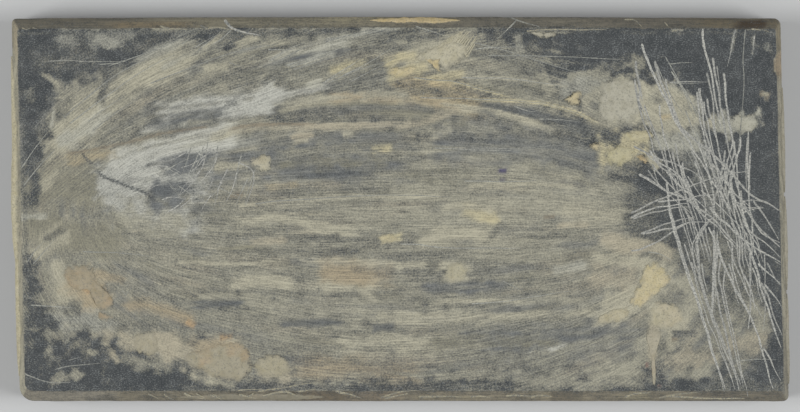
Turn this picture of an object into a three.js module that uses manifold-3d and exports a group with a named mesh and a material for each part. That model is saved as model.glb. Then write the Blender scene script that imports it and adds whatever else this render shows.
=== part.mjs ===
// Paint mixing stone: a hand-dressed slab of dark slate with a rolled bevel round its face, and
// the deposits of dried paint that years of mixing have left standing on its face and rim.
// Sizes are millimetres, +Z is up and the painter stands on the -Y side. The origin is on the
// surface that the stone lies on, under the middle of the slab.

import * as THREE from "three";
import Module from "manifold-3d";
import { mergeVertices } from "three/addons/utils/BufferGeometryUtils.js";

const wasm = await Module();
wasm.setup();

// The slab
const slabLength = 300;
const slabWidth = 150;
const slabThickness = 20;
const outOfSquare = 3.3; // the back edge lies this far to the left of the front edge
const backEdgeBow = 0.6; // the back edge stands out by this much at its middle
const footArris = 1; // small chamfer round the sawn underside
const bevelDrop = 3; // how far the worked bevel reaches down each side
const bevelRoll = 1.3; // 1 is a flat bevel, and more rolls its upper part over
const bevelWidth = { back: 4.3, right: 2.2, front: 4.1, left: 2.4 };
const cornerRadius = { frontLeft: 5.5, frontRight: 2.4, backRight: 2.8, backLeft: 2 };
const sharpestCorner = 0.8; // no corner of the face is ground sharper than this
const cornerSteps = 6;
const sideSteps = { long: 16, short: 8 };
const bevelSteps = 3;

// A flake struck out of the right-hand arris
const chipFromBack = 18.5;
const chipLength = 8.6; // along the arris of the face
const chipBite = 1.3; // how far it reaches into the face, past the bevel
const chipDepth = 2.4;

// Paint
const seatGap = 0.3; // clearance between a run of paint on the sloping rim and the stone
const runEndClearance = 4.5; // a run of paint stops this far short of a corner or of the chip
const runStep = 6; // spacing of the sections along a run
const runEdge = 0.7; // a run's thickness at its upper and lower edge, as a share of its middle's
const runTip = 0.08; // how far along its half length a run has reached its end thickness
const filmStep = 2; // spacing of the points round a deposit on the face
const filmProfile = [
  { reach: 1, rise: 0 },
  { reach: 0.95, rise: 0.55 },
  { reach: 0.82, rise: 0.9 },
  { reach: 0.5, rise: 1 },
];
const hairWidth = 1.3;
const hairHeight = 0.5;
const hairTaper = 0.75; // how much of its width and height a hair mark loses by its tip

const halfLength = slabLength / 2;
const halfWidth = slabWidth / 2;

const slate = new THREE.MeshStandardMaterial({ color: 0x4c4f52, roughness: 0.72, metalness: 0 });
const cream = new THREE.MeshStandardMaterial({ color: 0xb3ac8f, roughness: 0.8, metalness: 0 });
const ochre = new THREE.MeshStandardMaterial({ color: 0xc2a878, roughness: 0.75, metalness: 0 });
const yellow = new THREE.MeshStandardMaterial({ color: 0xc0b486, roughness: 0.78, metalness: 0 });
const flesh = new THREE.MeshStandardMaterial({ color: 0xb5a283, roughness: 0.8, metalness: 0 });

// Solids

function solidOf(geometry) {
  const bare = geometry.clone();
  bare.deleteAttribute("normal");
  bare.deleteAttribute("uv");
  const merged = mergeVertices(bare, 1e-4);
  return new wasm.Manifold(
    new wasm.Mesh({
      numProp: 3,
      vertProperties: merged.attributes.position.array,
      triVerts: new Uint32Array(merged.index.array),
    }),
  );
}

function geometryOf(solid) {
  const { vertProperties, triVerts, numProp, numVert } = solid.getMesh();
  const positions = new Float32Array(numVert * 3);
  for (let i = 0; i < numVert; i++) {
    positions.set(vertProperties.subarray(i * numProp, i * numProp + 3), i * 3);
  }
  const geometry = new THREE.BufferGeometry();
  geometry.setAttribute("position", new THREE.BufferAttribute(positions, 3));
  geometry.setIndex(new THREE.BufferAttribute(new Uint32Array(triVerts), 1));
  geometry.computeVertexNormals();
  return geometry;
}

// A closed skin over rings that all have the same number of points. Each ring runs anticlockwise
// as seen from the end that the last ring is at, and both ends are closed by a fan.
function loft(rings) {
  const count = rings[0].length;
  const positions = rings.flat().flatMap((p) => [p.x, p.y, p.z]);
  const index = [];
  for (let r = 0; r < rings.length - 1; r++) {
    for (let i = 0; i < count; i++) {
      const a = r * count + i;
      const b = r * count + ((i + 1) % count);
      index.push(a, b, b + count, a, b + count, a + count);
    }
  }
  const addCap = (ring, first, outward) => {
    const middle = ring.reduce((sum, p) => sum.add(p), new THREE.Vector3()).divideScalar(count);
    const hub = positions.length / 3;
    positions.push(middle.x, middle.y, middle.z);
    for (let i = 0; i < count; i++) {
      const a = first + i;
      const b = first + ((i + 1) % count);
      index.push(hub, ...(outward ? [a, b] : [b, a]));
    }
  };
  addCap(rings[0], 0, false);
  addCap(rings[rings.length - 1], (rings.length - 1) * count, true);
  const geometry = new THREE.BufferGeometry();
  geometry.setAttribute("position", new THREE.Float32BufferAttribute(positions, 3));
  geometry.setIndex(index);
  geometry.computeVertexNormals();
  return geometry;
}

// The slab

// Where a point of the squared slab lies on the real one, which leans and has a bowed back edge.
function dressed(x, y) {
  const lean = (-outOfSquare * y) / slabWidth;
  const towardsBack = THREE.MathUtils.clamp(y / halfWidth, 0, 1);
  const bow = backEdgeBow * towardsBack * (x / halfLength) ** 2;
  return new THREE.Vector2(x + lean, y - bow);
}

// The outline at a distance inside each side, as points walked anticlockwise from the front left.
function outlineAt(inset) {
  const left = -halfLength + inset.left;
  const right = halfLength - inset.right;
  const front = -halfWidth + inset.front;
  const back = halfWidth - inset.back;
  const corners = [
    { x: left, y: front, radius: cornerRadius.frontLeft - Math.min(inset.left, inset.front), turn: 180 },
    { x: right, y: front, radius: cornerRadius.frontRight - Math.min(inset.right, inset.front), turn: 270 },
    { x: right, y: back, radius: cornerRadius.backRight - Math.min(inset.right, inset.back), turn: 0 },
    { x: left, y: back, radius: cornerRadius.backLeft - Math.min(inset.left, inset.back), turn: 90 },
  ];
  const arcs = corners.map(({ x, y, radius, turn }) => {
    const r = Math.max(radius, sharpestCorner);
    const cx = x - Math.sign(x) * r;
    const cy = y - Math.sign(y) * r;
    return Array.from({ length: cornerSteps + 1 }, (_, i) => {
      const angle = THREE.MathUtils.degToRad(turn + (90 * i) / cornerSteps);
      return new THREE.Vector2(cx + r * Math.cos(angle), cy + r * Math.sin(angle));
    });
  });
  return arcs.flatMap((arc, i) => {
    const start = arc[arc.length - 1];
    const end = arcs[(i + 1) % arcs.length][0];
    const steps = i % 2 === 0 ? sideSteps.long : sideSteps.short;
    const side = Array.from({ length: steps - 1 }, (_, k) => start.clone().lerp(end, (k + 1) / steps));
    return [...arc, ...side].map((p) => dressed(p.x, p.y));
  });
}

// How far in from a side, and how far up, the bevel has come at a share t of its climb.
const bevelInset = (width, t) => width * t ** bevelRoll;
const bevelHeight = (t) => slabThickness - bevelDrop * (1 - t);

function stoneSlab() {
  const evenly = (inset) => ({ left: inset, right: inset, front: inset, back: inset });
  const ring = (z, inset) => outlineAt(inset).map((p) => new THREE.Vector3(p.x, p.y, z));
  const rings = [ring(0, evenly(footArris)), ring(footArris, evenly(0))];
  for (let step = 0; step <= bevelSteps; step++) {
    const t = step / bevelSteps;
    const inset = {};
    for (const side of Object.keys(bevelWidth)) {
      inset[side] = bevelInset(bevelWidth[side], t);
    }
    rings.push(ring(bevelHeight(t), inset));
  }
  return solidOf(loft(rings)).subtract(arrisChip());
}

// The scoop that the flake left: an ellipsoid centred on the side, level with the face.
function arrisChip() {
  const reach = bevelWidth.right + chipBite;
  const widthAtArris = Math.sqrt(1 - (bevelWidth.right / reach) ** 2);
  const scoop = new THREE.SphereGeometry(1, 20, 12);
  scoop.scale(reach, chipLength / 2 / widthAtArris, chipDepth);
  const at = dressed(halfLength, halfWidth - chipFromBack);
  scoop.translate(at.x, at.y, slabThickness);
  return solidOf(scoop);
}

// Paint on the rim

// A section of a run across the rim: the stone's own line at the seat gap, then the paint's skin
// coming back. n is the distance outwards from the side. The climb t is 0 at the bevel's foot, 1
// at the face, and below 0 on the upright side.
function rimSection(width, { lowest, highest }, thickness) {
  const outward = new THREE.Vector2(bevelDrop, width).normalize();
  const facets = Array.from({ length: bevelSteps }, (_, i) => i / bevelSteps);
  const climbs = [lowest, lowest / 2, ...facets, highest].filter((t) => t >= lowest && t <= highest);
  const line = (swell) =>
    climbs.map((t) => {
      const u = (t - lowest) / (highest - lowest);
      const off = seatGap + swell * (runEdge + (1 - runEdge) * Math.sin(Math.PI * u));
      if (t < 0) return { n: off, z: bevelHeight(t) };
      return { n: off * outward.x - bevelInset(width, t), z: bevelHeight(t) + off * outward.y };
    });
  return [...line(0), ...line(thickness).reverse()];
}

// A run of paint along one side, from one distance to another: from the back edge on the left,
// from the front edge on the right, from the left edge in front and from the right edge behind.
function rimRun({ side, from, until, lowest, highest, thickness, swell }) {
  const stations = Math.max(4, Math.round((until - from) / runStep));
  const rings = Array.from({ length: stations + 1 }, (_, i) => {
    const share = i / stations;
    const along = from + (until - from) * share;
    const feather = Math.sqrt(Math.sin(Math.PI * THREE.MathUtils.clamp(share, runTip, 1 - runTip)));
    const section = rimSection(bevelWidth[side], { lowest, highest }, thickness * swell(share) * feather);
    return section.map(({ n, z }) => {
      const [x, y] = {
        left: [-halfLength - n, halfWidth - along],
        right: [halfLength + n, -halfWidth + along],
        front: [-halfLength + along, -halfWidth - n],
        back: [halfLength - along, halfWidth + n],
      }[side];
      const p = dressed(x, y);
      return new THREE.Vector3(p.x, p.y, z);
    });
  });
  return solidOf(loft(rings));
}

// Paint on the face

// A place on the face, given by its distance from the two nearest edges.
function place({ left, right, front, back }) {
  const x = left === undefined ? halfLength - right : -halfLength + left;
  const y = front === undefined ? halfWidth - back : -halfWidth + front;
  return dressed(x, y);
}

// A deposit whose outline is a closed curve through points given from its place. It lies flat on
// the face and domes over, and knife ridges run along it at the ridge's angle.
function faceFilm({ at, outline, thickness, ridge = { share: 0, pitch: 4, angle: 0 } }) {
  const curve = new THREE.CatmullRomCurve3(
    outline.map(([x, y]) => new THREE.Vector3(x, y, 0)),
    true,
    "centripetal",
  );
  const count = Math.max(12, Math.round(curve.getLength() / filmStep));
  const points = curve.getSpacedPoints(count).slice(0, count);
  if (THREE.ShapeUtils.area(points) < 0) points.reverse();
  const along = THREE.MathUtils.degToRad(ridge.angle);
  const centre = place(at);
  const rings = filmProfile.map(({ reach, rise }) =>
    points.map((point) => {
      const p = point.clone().multiplyScalar(reach);
      const across = p.y * Math.cos(along) - p.x * Math.sin(along);
      const wave = 1 + ridge.share * Math.sin((2 * Math.PI * across) / ridge.pitch);
      p.z = slabThickness + thickness * rise * wave;
      return p.add(new THREE.Vector3(centre.x, centre.y, 0));
    }),
  );
  return solidOf(loft(rings));
}

// The mark that one hair of a stiff brush drew out of a deposit: half round, thinning to its tip.
function hairMark(from, to) {
  const way = to.clone().sub(from);
  const aside = new THREE.Vector2(-way.y, way.x).normalize();
  const steps = 5;
  const rings = [0, 0.4, 0.75, 1].map((share) => {
    const middle = from.clone().addScaledVector(way, share);
    const size = 1 - hairTaper * share ** 1.5;
    return Array.from({ length: steps + 1 }, (_, i) => {
      const angle = (Math.PI * i) / steps;
      const off = (hairWidth / 2) * size * Math.cos(angle);
      const lift = i % steps === 0 ? 0 : hairHeight * size * Math.sin(angle);
      return new THREE.Vector3(middle.x + aside.x * off, middle.y + aside.y * off, slabThickness + lift);
    });
  });
  return solidOf(loft(rings));
}

const filmsOnFace = {
  brushed_dab: {
    material: cream,
    at: { right: 130.7, back: 15 },
    outline: [
      [-10.5, 2.2],
      [-6.2, 4.3],
      [0.4, 5.5],
      [5.1, 6.2],
      [9.4, 3.9],
      [5.5, -1.2],
      [1.2, -5],
      [-0.8, -3.6],
      [-1.4, 0],
      [-5.8, 0.6],
    ],
    thickness: 0.7,
    ridge: { share: 0.3, pitch: 2.1, angle: 38 },
    hairs: [
      { root: [1.4, 4.6], tip: [5, 8.2] },
      { root: [3.4, 4.6], tip: [7, 8.7] },
      { root: [5, 4], tip: [9.4, 9.3] },
      { root: [6.4, 3.2], tip: [11.6, 8.7] },
      { root: [7.2, 2.2], tip: [12, 6.9] },
    ],
  },
  brushed_dab_ochre_lump: {
    material: ochre,
    at: { right: 136, back: 17.3 },
    outline: [[-3.9, 1.3], [0, 1.7], [3.5, 1.8], [3.4, -1.2], [3.8, -4], [2.5, -5.1], [0.6, -3.2], [-1.6, -1.1]],
    thickness: 0.8,
  },
  brushed_dab_ochre_trail: {
    material: ochre,
    at: { right: 147.8, back: 21.4 },
    outline: [[-6, -0.4], [-4, 1.6], [1, 2.4], [6.4, 1.6], [4, -1.6], [0.5, -2.9], [-3.6, -2.6]],
    thickness: 0.35,
    ridge: { share: 0.2, pitch: 1.8, angle: 20 },
  },
  ochre_flake: {
    material: ochre,
    at: { right: 81.2, back: 31.9 },
    outline: [[-4.9, -0.7], [-2.4, 1.5], [0.8, 3], [2.9, 3.5], [2.5, 0.4], [2.1, -3.1], [-0.6, -2.8], [-3, -2.4]],
    thickness: 0.75,
  },
  cream_patch_back_right: {
    material: cream,
    at: { right: 63.1, back: 32.5 },
    outline: [
      [-7.6, 7.1],
      [-3.2, 8.6],
      [3.6, 8.2],
      [7.9, 6],
      [8.7, 1.4],
      [8, -4.8],
      [5.2, -8.2],
      [-1, -9.4],
      [-6.4, -8.6],
      [-9, -6],
      [-8.4, -1],
    ],
    thickness: 0.35,
  },
  yellow_arm: {
    material: yellow,
    at: { right: 56.6, back: 46.8 },
    outline: [[-6.6, 1], [-2.6, 2.4], [3.6, 2.5], [6.7, 1], [4.4, -1.5], [-0.4, -2.3], [-5, -2]],
    thickness: 0.35,
  },
  yellow_patch: {
    material: yellow,
    at: { right: 64.8, back: 54.8 },
    outline: [[-5.6, 1.5], [-2.6, 3.9], [2.8, 4.2], [5.8, 2.2], [5.6, -1.8], [1.2, -4.6], [-4.2, -3.4]],
    thickness: 0.45,
  },
  ochre_dab_left: {
    material: ochre,
    at: { right: 73.7, back: 50.5 },
    outline: [[-3.1, 0.2], [-1.2, 2.2], [1.8, 2], [3.1, 0.1], [1.2, -2.2], [-1.9, -1.9]],
    thickness: 0.5,
  },
  ochre_dab_right: {
    material: ochre,
    at: { right: 55.2, back: 55.7 },
    outline: [[-2.6, 1.2], [0.6, 2], [2.4, 0.4], [2.7, -1.8], [0.8, -2.3], [-1.4, -0.8]],
    thickness: 0.45,
  },
  pale_patch_far_right: {
    material: cream,
    at: { right: 15.5, back: 41.9 },
    outline: [
      [-4.7, 3.5],
      [-2.7, 4.2],
      [-0.8, 2.9],
      [1.6, 4.1],
      [3.9, 3.8],
      [5.1, 0.8],
      [4.3, -2.3],
      [1.9, -4.4],
      [-0.8, -3.1],
      [-3.1, -2.7],
      [-5.1, 0],
    ],
    thickness: 0.3,
  },
  yellow_dab_front_right: {
    material: yellow,
    at: { right: 52.6, front: 45.8 },
    outline: [
      [0, 8.9],
      [3.9, 7.8],
      [6.4, 4.2],
      [6.6, 0.2],
      [3.7, -3],
      [-1.2, -6.5],
      [-5.6, -9.4],
      [-7.8, -7.8],
      [-7.4, -4],
      [-5.8, -0.4],
      [-3.8, 4.4],
      [-2.2, 7.6],
    ],
    thickness: 0.6,
    ridge: { share: 0.15, pitch: 3.2, angle: 60 },
  },
  yellow_dab_tail: {
    material: yellow,
    at: { right: 66.7, front: 33.6 },
    outline: [[4.4, 3.1], [5.8, 0.8], [3.4, -1.7], [-1.5, -3], [-6.3, -3], [-8.2, -1.5], [-5.1, 0.6], [-0.4, 2.5]],
    thickness: 0.35,
    ridge: { share: 0.2, pitch: 2, angle: 30 },
  },
  cream_lobe_front_right: {
    material: cream,
    at: { right: 48.3, front: 34.8 },
    outline: [
      [-4.6, 2.4],
      [-0.4, 5],
      [3, 4],
      [7, 0.4],
      [8, -3],
      [5.2, -5.6],
      [0, -6.2],
      [-4.8, -5.4],
      [-6.2, -1.8],
    ],
    thickness: 0.35,
  },
  cream_drip: {
    material: cream,
    at: { right: 52.7, front: 17.5 },
    outline: [
      [-2.9, 10],
      [2.9, 10.2],
      [2, 5.3],
      [1.1, 1.2],
      [0.9, -3],
      [1, -8],
      [0.2, -12.3],
      [-0.6, -8],
      [-1.2, -2],
      [-2.2, 5.3],
    ],
    thickness: 0.3,
  },
  flesh_plateau: {
    material: flesh,
    at: { left: 27.9, front: 44 },
    outline: [
      [-7.5, 8.2],
      [-2, 9.2],
      [2, 8.6],
      [3.4, 4.6],
      [5.8, 0.8],
      [9.6, -4],
      [10.6, -6.6],
      [6.4, -8.6],
      [3.4, -7],
      [1, -2],
      [-4.6, -0.6],
      [-8.6, 2.6],
      [-9.4, 6.4],
    ],
    thickness: 0.55,
  },
  flesh_dab: {
    material: flesh,
    at: { left: 34.7, front: 33 },
    outline: [[-2.6, 1.6], [0.6, 1.8], [3.2, 0.6], [2.2, -1.8], [-0.8, -2], [-2.8, -0.6]],
    thickness: 0.45,
  },
  cream_dab_front_left: {
    material: cream,
    at: { left: 50, front: 21.3 },
    outline: [
      [-4.4, 3.8],
      [-2.8, 4.9],
      [0.9, 6],
      [3.5, 5.7],
      [4.5, 3],
      [4.4, -0.1],
      [3.5, -2.6],
      [-0.1, -3],
      [-4.3, -2.6],
      [-4.6, 0.7],
    ],
    thickness: 0.35,
  },
  cream_patch_front_left: {
    material: cream,
    at: { left: 78.3, front: 15.4 },
    outline: [
      [-13, 2.4],
      [-6.4, 4.6],
      [0.6, 7.6],
      [7.4, 7.8],
      [12.2, 3.6],
      [13, -2.4],
      [9.4, -6.6],
      [2.4, -7.4],
      [-4.8, -5],
      [-10.4, -1.6],
    ],
    thickness: 0.4,
  },
  cream_blob_front_left: {
    material: cream,
    at: { left: 98.8, front: 13.4 },
    outline: [[-6.2, 2.6], [-2, 5], [3, 4.6], [6.6, 1.4], [6, -2.8], [1.4, -4.4], [-3.8, -4], [-6.6, -1]],
    thickness: 0.45,
  },
  cream_dab_left: {
    material: cream,
    at: { left: 96.6, back: 56.8 },
    outline: [
      [-5.4, -0.1],
      [-3.9, 1.4],
      [-1.6, 2.3],
      [2.9, 2.7],
      [3.7, 0.2],
      [3.2, -2.4],
      [1.6, -3.6],
      [-1.6, -3],
      [-4.2, -1.4],
    ],
    thickness: 0.4,
  },
  yellow_dab_middle: {
    material: yellow,
    at: { left: 143.8, front: 63.7 },
    outline: [[-4.2, 0.4], [-1, 1.9], [3, 1.6], [4.4, -0.6], [1.2, -1.8], [-2.8, -1.5]],
    thickness: 0.35,
  },
  cream_dab_right_of_middle: {
    material: cream,
    at: { right: 129.1, front: 50.5 },
    outline: [
      [-4.7, 1.9],
      [-1.4, 3.8],
      [2.8, 3.5],
      [4.8, 0.6],
      [3.2, -3.4],
      [-4, -3.4],
      [-4.8, -0.4],
    ],
    thickness: 0.4,
  },
  cream_smear_back_arris: {
    material: cream,
    at: { right: 92.5, back: bevelWidth.back + 2.7 },
    outline: [[-5.8, 0.9], [-1, 1], [4.6, 1.2], [5.4, -0.2], [1.8, -1.8], [-2.4, -0.9]],
    thickness: 0.4,
  },
};

const runsOnRim = {
  left_rim_paint: {
    material: cream,
    side: "left",
    from: 15,
    until: slabWidth - 57,
    lowest: -0.9,
    highest: 0.75,
    thickness: 1.9,
    // It thickens into a lump just before its front end.
    swell: (share) => 0.32 + 0.8 * THREE.MathUtils.smoothstep(share, 0.35, 0.9),
  },
  left_rim_paint_front: {
    material: cream,
    side: "left",
    from: slabWidth - 54,
    until: slabWidth - cornerRadius.frontLeft - runEndClearance,
    lowest: -0.4,
    highest: 0.7,
    thickness: 0.7,
    swell: (share) => 1 - 0.3 * share,
  },
  right_rim_paint_front: {
    material: cream,
    side: "right",
    from: cornerRadius.frontRight + runEndClearance,
    until: 42,
    lowest: -0.4,
    highest: 0.6,
    thickness: 0.5,
    swell: (share) => 0.9 + 0.2 * Math.sin(9 * share),
  },
  right_rim_paint_middle: {
    material: cream,
    side: "right",
    from: 43.5,
    until: slabWidth - 70,
    lowest: -0.4,
    highest: 0.6,
    thickness: 0.7,
    swell: (share) => 0.95 - 0.1 * Math.cos(6 * share),
  },
  right_rim_paint_back: {
    material: cream,
    side: "right",
    from: slabWidth - 68.5,
    until: slabWidth - chipFromBack - chipLength / 2 - runEndClearance,
    lowest: -0.4,
    highest: 0.6,
    thickness: 0.5,
    swell: (share) => 1 - 0.25 * share,
  },
  back_rim_ochre: {
    material: ochre,
    side: "back",
    from: 125,
    until: 160,
    lowest: 0.1,
    highest: 0.8,
    thickness: 0.5,
    swell: (share) => 0.8 + 0.3 * share,
  },
  front_rim_paint: {
    material: cream,
    side: "front",
    from: 62,
    until: 119,
    lowest: 0.2,
    highest: 0.85,
    thickness: 0.45,
    swell: (share) => 0.9 + 0.2 * Math.sin(11 * share),
  },
};

// The mixing stone

const mixingStone = new THREE.Group();

function addPart(name, solid, material) {
  const mesh = new THREE.Mesh(geometryOf(solid), material);
  mesh.name = name;
  mixingStone.add(mesh);
}

addPart("stone_slab", stoneSlab(), slate);
for (const [name, film] of Object.entries(filmsOnFace)) {
  const centre = place(film.at);
  const hairs = (film.hairs ?? []).map(({ root, tip }) =>
    hairMark(new THREE.Vector2(...root).add(centre), new THREE.Vector2(...tip).add(centre)),
  );
  addPart(name, hairs.reduce((solid, hair) => solid.add(hair), faceFilm(film)), film.material);
}
for (const [name, run] of Object.entries(runsOnRim)) {
  addPart(name, rimRun(run), run.material);
}

export default mixingStone;
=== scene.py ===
"""Looks of the paint mixing stone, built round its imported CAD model.

Places on the face are given as pixels of the 800 by 412 photograph, which looks straight down on
the stone, and on_face turns them to millimetres. Shapes are worked out in millimetres and are put
into their meshes in metres.
"""

import itertools
import math

import bpy
import numpy as np
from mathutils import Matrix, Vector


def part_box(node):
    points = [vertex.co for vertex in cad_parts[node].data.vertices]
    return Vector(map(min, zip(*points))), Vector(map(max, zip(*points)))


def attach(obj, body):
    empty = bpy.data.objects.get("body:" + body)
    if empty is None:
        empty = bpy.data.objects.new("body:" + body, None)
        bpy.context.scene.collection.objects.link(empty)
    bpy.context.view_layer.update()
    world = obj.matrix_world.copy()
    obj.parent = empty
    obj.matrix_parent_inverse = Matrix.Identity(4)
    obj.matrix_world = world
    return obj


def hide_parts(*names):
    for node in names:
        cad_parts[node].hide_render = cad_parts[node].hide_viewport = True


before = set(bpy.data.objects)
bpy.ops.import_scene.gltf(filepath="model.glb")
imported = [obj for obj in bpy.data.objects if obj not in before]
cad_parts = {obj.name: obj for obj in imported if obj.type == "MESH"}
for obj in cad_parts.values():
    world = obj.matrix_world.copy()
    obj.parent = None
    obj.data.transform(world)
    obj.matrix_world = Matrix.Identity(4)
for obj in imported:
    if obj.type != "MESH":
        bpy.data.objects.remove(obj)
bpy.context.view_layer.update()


# The place it is photographed in: a plain pale floor between two wide soft lamps, one at each side
# and a little in front, under a pale sky, and a camera straight above the stone's face.

camera_height = 1.4  # above the face
view_width = 0.3112  # of the face, from edge to edge of the picture
view_middle = (-0.00005, 0.00117)
face_height = 0.02
sensor_width = 36
floor_size = 4
lamp_places = {"left_lamp": (-1.5, -0.2, 1.4), "right_lamp": (1.5, -0.2, 1.4)}
lamp_size = 1
lamp_power = 28.5
sky_strength = 0.24


def tint(red, green, blue):
    """The linear colour of a colour given as on a screen, from 0 to 255."""
    value = np.array([red, green, blue]) / 255
    return np.where(value <= 0.04045, value / 12.92, ((value + 0.055) / 1.055) ** 2.4)


def add_node(tree, kind, inputs=None, **settings):
    """Adds a shader node. Inputs are values or other nodes' sockets, and settings its own."""
    node = tree.nodes.new(kind)
    for name, value in settings.items():
        setattr(node, name, value)
    for name, value in (inputs or {}).items():
        if isinstance(value, bpy.types.NodeSocket):
            tree.links.new(value, node.inputs[name])
        else:
            node.inputs[name].default_value = value
    return node


def new_material(name):
    """A material with nothing in it but its output and a rough Principled shader."""
    material = bpy.data.materials.new(name)
    material.use_nodes = True
    tree = material.node_tree
    tree.nodes.clear()
    shader = add_node(tree, "ShaderNodeBsdfPrincipled", {"Roughness": 0.75})
    add_node(tree, "ShaderNodeOutputMaterial", {"Surface": shader.outputs["BSDF"]})
    return material, tree, shader


def new_piece(name, points, faces, material, smooth_angle=40):
    """Makes an object of millimetre points, smooth but for edges sharper than the angle."""
    mesh = bpy.data.meshes.new(name)
    mesh.from_pydata((np.asarray(points) / 1000).tolist(), [], [list(map(int, face)) for face in faces])
    mesh.polygons.foreach_set("use_smooth", np.ones(len(mesh.polygons), bool))
    mesh.set_sharp_from_angle(angle=math.radians(smooth_angle))
    mesh.materials.append(material)
    piece = bpy.data.objects.new(name, mesh)
    bpy.context.scene.collection.objects.link(piece)
    return piece


scene = bpy.context.scene
scene.view_settings.view_transform = "Standard"

camera = bpy.data.cameras.new("camera")
camera.sensor_width = sensor_width
camera.lens = sensor_width * camera_height / view_width
camera_object = bpy.data.objects.new("camera", camera)
camera_object.location = (*view_middle, face_height + camera_height)
scene.collection.objects.link(camera_object)
scene.camera = camera_object

for lamp_name, lamp_place in lamp_places.items():
    lamp = bpy.data.lights.new(lamp_name, "AREA")
    lamp.shape = "DISK"
    lamp.size = lamp_size
    lamp.energy = lamp_power
    lamp_object = bpy.data.objects.new(lamp_name, lamp)
    lamp_object.location = lamp_place
    lamp_object.rotation_euler = (-lamp_object.location).to_track_quat("-Z", "Y").to_euler()
    scene.collection.objects.link(lamp_object)

sky = bpy.data.worlds.new("soft_sky")
sky.use_nodes = True
sky.node_tree.nodes["Background"].inputs["Color"].default_value = (1, 1, 1, 1)
sky.node_tree.nodes["Background"].inputs["Strength"].default_value = sky_strength
scene.world = sky

floor_paper, _, floor_shader = new_material("floor_paper")
floor_shader.inputs["Roughness"].default_value = 0.9
floor_shader.inputs["Base Color"].default_value = (*tint(186, 187, 187), 1)
half_floor = 1000 * floor_size / 2
floor_corners = [(-1, -1, 0), (1, -1, 0), (1, 1, 0), (-1, 1, 0)]
floor = new_piece("floor", np.array(floor_corners) * half_floor, [(0, 1, 2, 3)], floor_paper)


# The slab: one piece of dark slate, sawn underneath, rubbed flat on its face and dressed by hand
# round the face's edge, where a flake is struck out of its right-hand arris. Years of mixing
# have left thin wiped paint all over its face, which is a film too thin to be a piece.

slab_length = 300
slab_width = 150
slab_thickness = 20
half_length = slab_length / 2
half_width = slab_width / 2
out_of_square = 3.3
back_edge_bow = 0.6
foot_arris = 1
bevel_drop = 3
bevel_roll = 1.3
bevel_width = {"back": 4.3, "right": 2.2, "front": 4.1, "left": 2.4}
corner_radius = {"front left": 5.5, "front right": 2.4, "back right": 2.8, "back left": 2}
sharpest_corner = 0.8
bevel_wear_depth = {"upper": 0.35, "lower": 0.3}
side_wear_depth = 0.25
nick_depth = 0.5
chip_from_back = 18.5
chip_bite = 1.3
chip_length = 8.6
chip_depth = 2.4
face_columns = 400
face_rows = 196
bevel_climbs = (0.985, 0.93, 0.8, 0.6, 0.4, 0.2, 0)
side_heights = (14.5, 11, 7, 3.5, 1)
rim_step = 0.75  # between points round the slab

pixel = 0.38986  # millimetres of the face to a pixel of the photograph
photo_middle = (399.75, 209)


def on_face(points):
    """Pixels of the photograph as millimetres: x grows to the right and y towards the back."""
    points = np.asarray(points, float)
    return (points - photo_middle) * (pixel, -pixel)


def smooth(low, high, value):
    """0 below low, 1 above high, and 3t^2 - 2t^3 between them."""
    t = np.clip((value - low) / (high - low), 0, 1)
    return t * t * (3 - 2 * t)


def noise(x, y, seed):
    """Smooth noise from -1 to 1: random values at whole numbers, blended by 3t^2 - 2t^3."""
    lattice = np.random.default_rng(seed).uniform(-1, 1, (128, 128))
    column = np.floor(x).astype(int)
    row = np.floor(y).astype(int)
    u = smooth(0, 1, x - column)
    v = smooth(0, 1, y - row)
    near = lattice[row % 128, column % 128] * (1 - u) + lattice[row % 128, (column + 1) % 128] * u
    far = lattice[(row + 1) % 128, column % 128] * (1 - u)
    far = far + lattice[(row + 1) % 128, (column + 1) % 128] * u
    return near * (1 - v) + far * v


def ragged(x, y, size, seed):
    """Noise over millimetres in three octaves, of which the first has cells of this size."""
    total = noise(x / size, y / size, seed)
    total = total + 0.5 * noise(2 * x / size + 31, 2 * y / size, seed + 1)
    total = total + 0.25 * noise(4 * x / size, 4 * y / size + 17, seed + 2)
    return total / 1.4


def dressed(x, y):
    """Where a point of the squared slab lies on the real one, which leans and has a bowed back."""
    lean = -out_of_square * y / slab_width
    bow = back_edge_bow * np.clip(y / half_width, 0, 1) * (x / half_length) ** 2
    return x + lean, y - bow


def along_line(line):
    """How far along a line each of its points is."""
    return np.append(0, np.cumsum(np.linalg.norm(np.diff(line, axis=0), axis=1)))


def points_along(line, at):
    """The points of a line at these distances along it."""
    length = along_line(line)
    return np.stack([np.interp(at, length, line[:, axis]) for axis in range(line.shape[1])], 1)


def outline(inset):
    """The squared outline at a distance inside each side, anticlockwise from the front left.

    Each side is half a corner's arc, a straight and half an arc, cut into even steps.
    """
    signs = {"front left": (-1, -1), "front right": (1, -1), "back right": (1, 1), "back left": (-1, 1)}

    def arc(corner, start, stop):
        sx, sy = signs[corner]
        inset_x = inset["left"] if sx < 0 else inset["right"]
        inset_y = inset["front"] if sy < 0 else inset["back"]
        radius = max(corner_radius[corner] - min(inset_x, inset_y), sharpest_corner)
        angle = np.radians(np.linspace(start, stop, 9))
        x = sx * (half_length - inset_x - radius) + radius * np.cos(angle)
        y = sy * (half_width - inset_y - radius) + radius * np.sin(angle)
        return np.stack([x, y], 1)

    ring = []
    walk = [
        ("front left", 225, 270, "front right", 270, 315, face_columns),
        ("front right", 315, 360, "back right", 0, 45, face_rows),
        ("back right", 45, 90, "back left", 90, 135, face_columns),
        ("back left", 135, 180, "front left", 180, 225, face_rows),
    ]
    for corner, start, stop, next_corner, next_start, next_stop, steps in walk:
        line = np.concatenate([arc(corner, start, stop), arc(next_corner, next_start, next_stop)])
        ring.append(points_along(line, np.linspace(0, along_line(line)[-1], steps + 1)[:-1]))
    return np.concatenate(ring)


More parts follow.
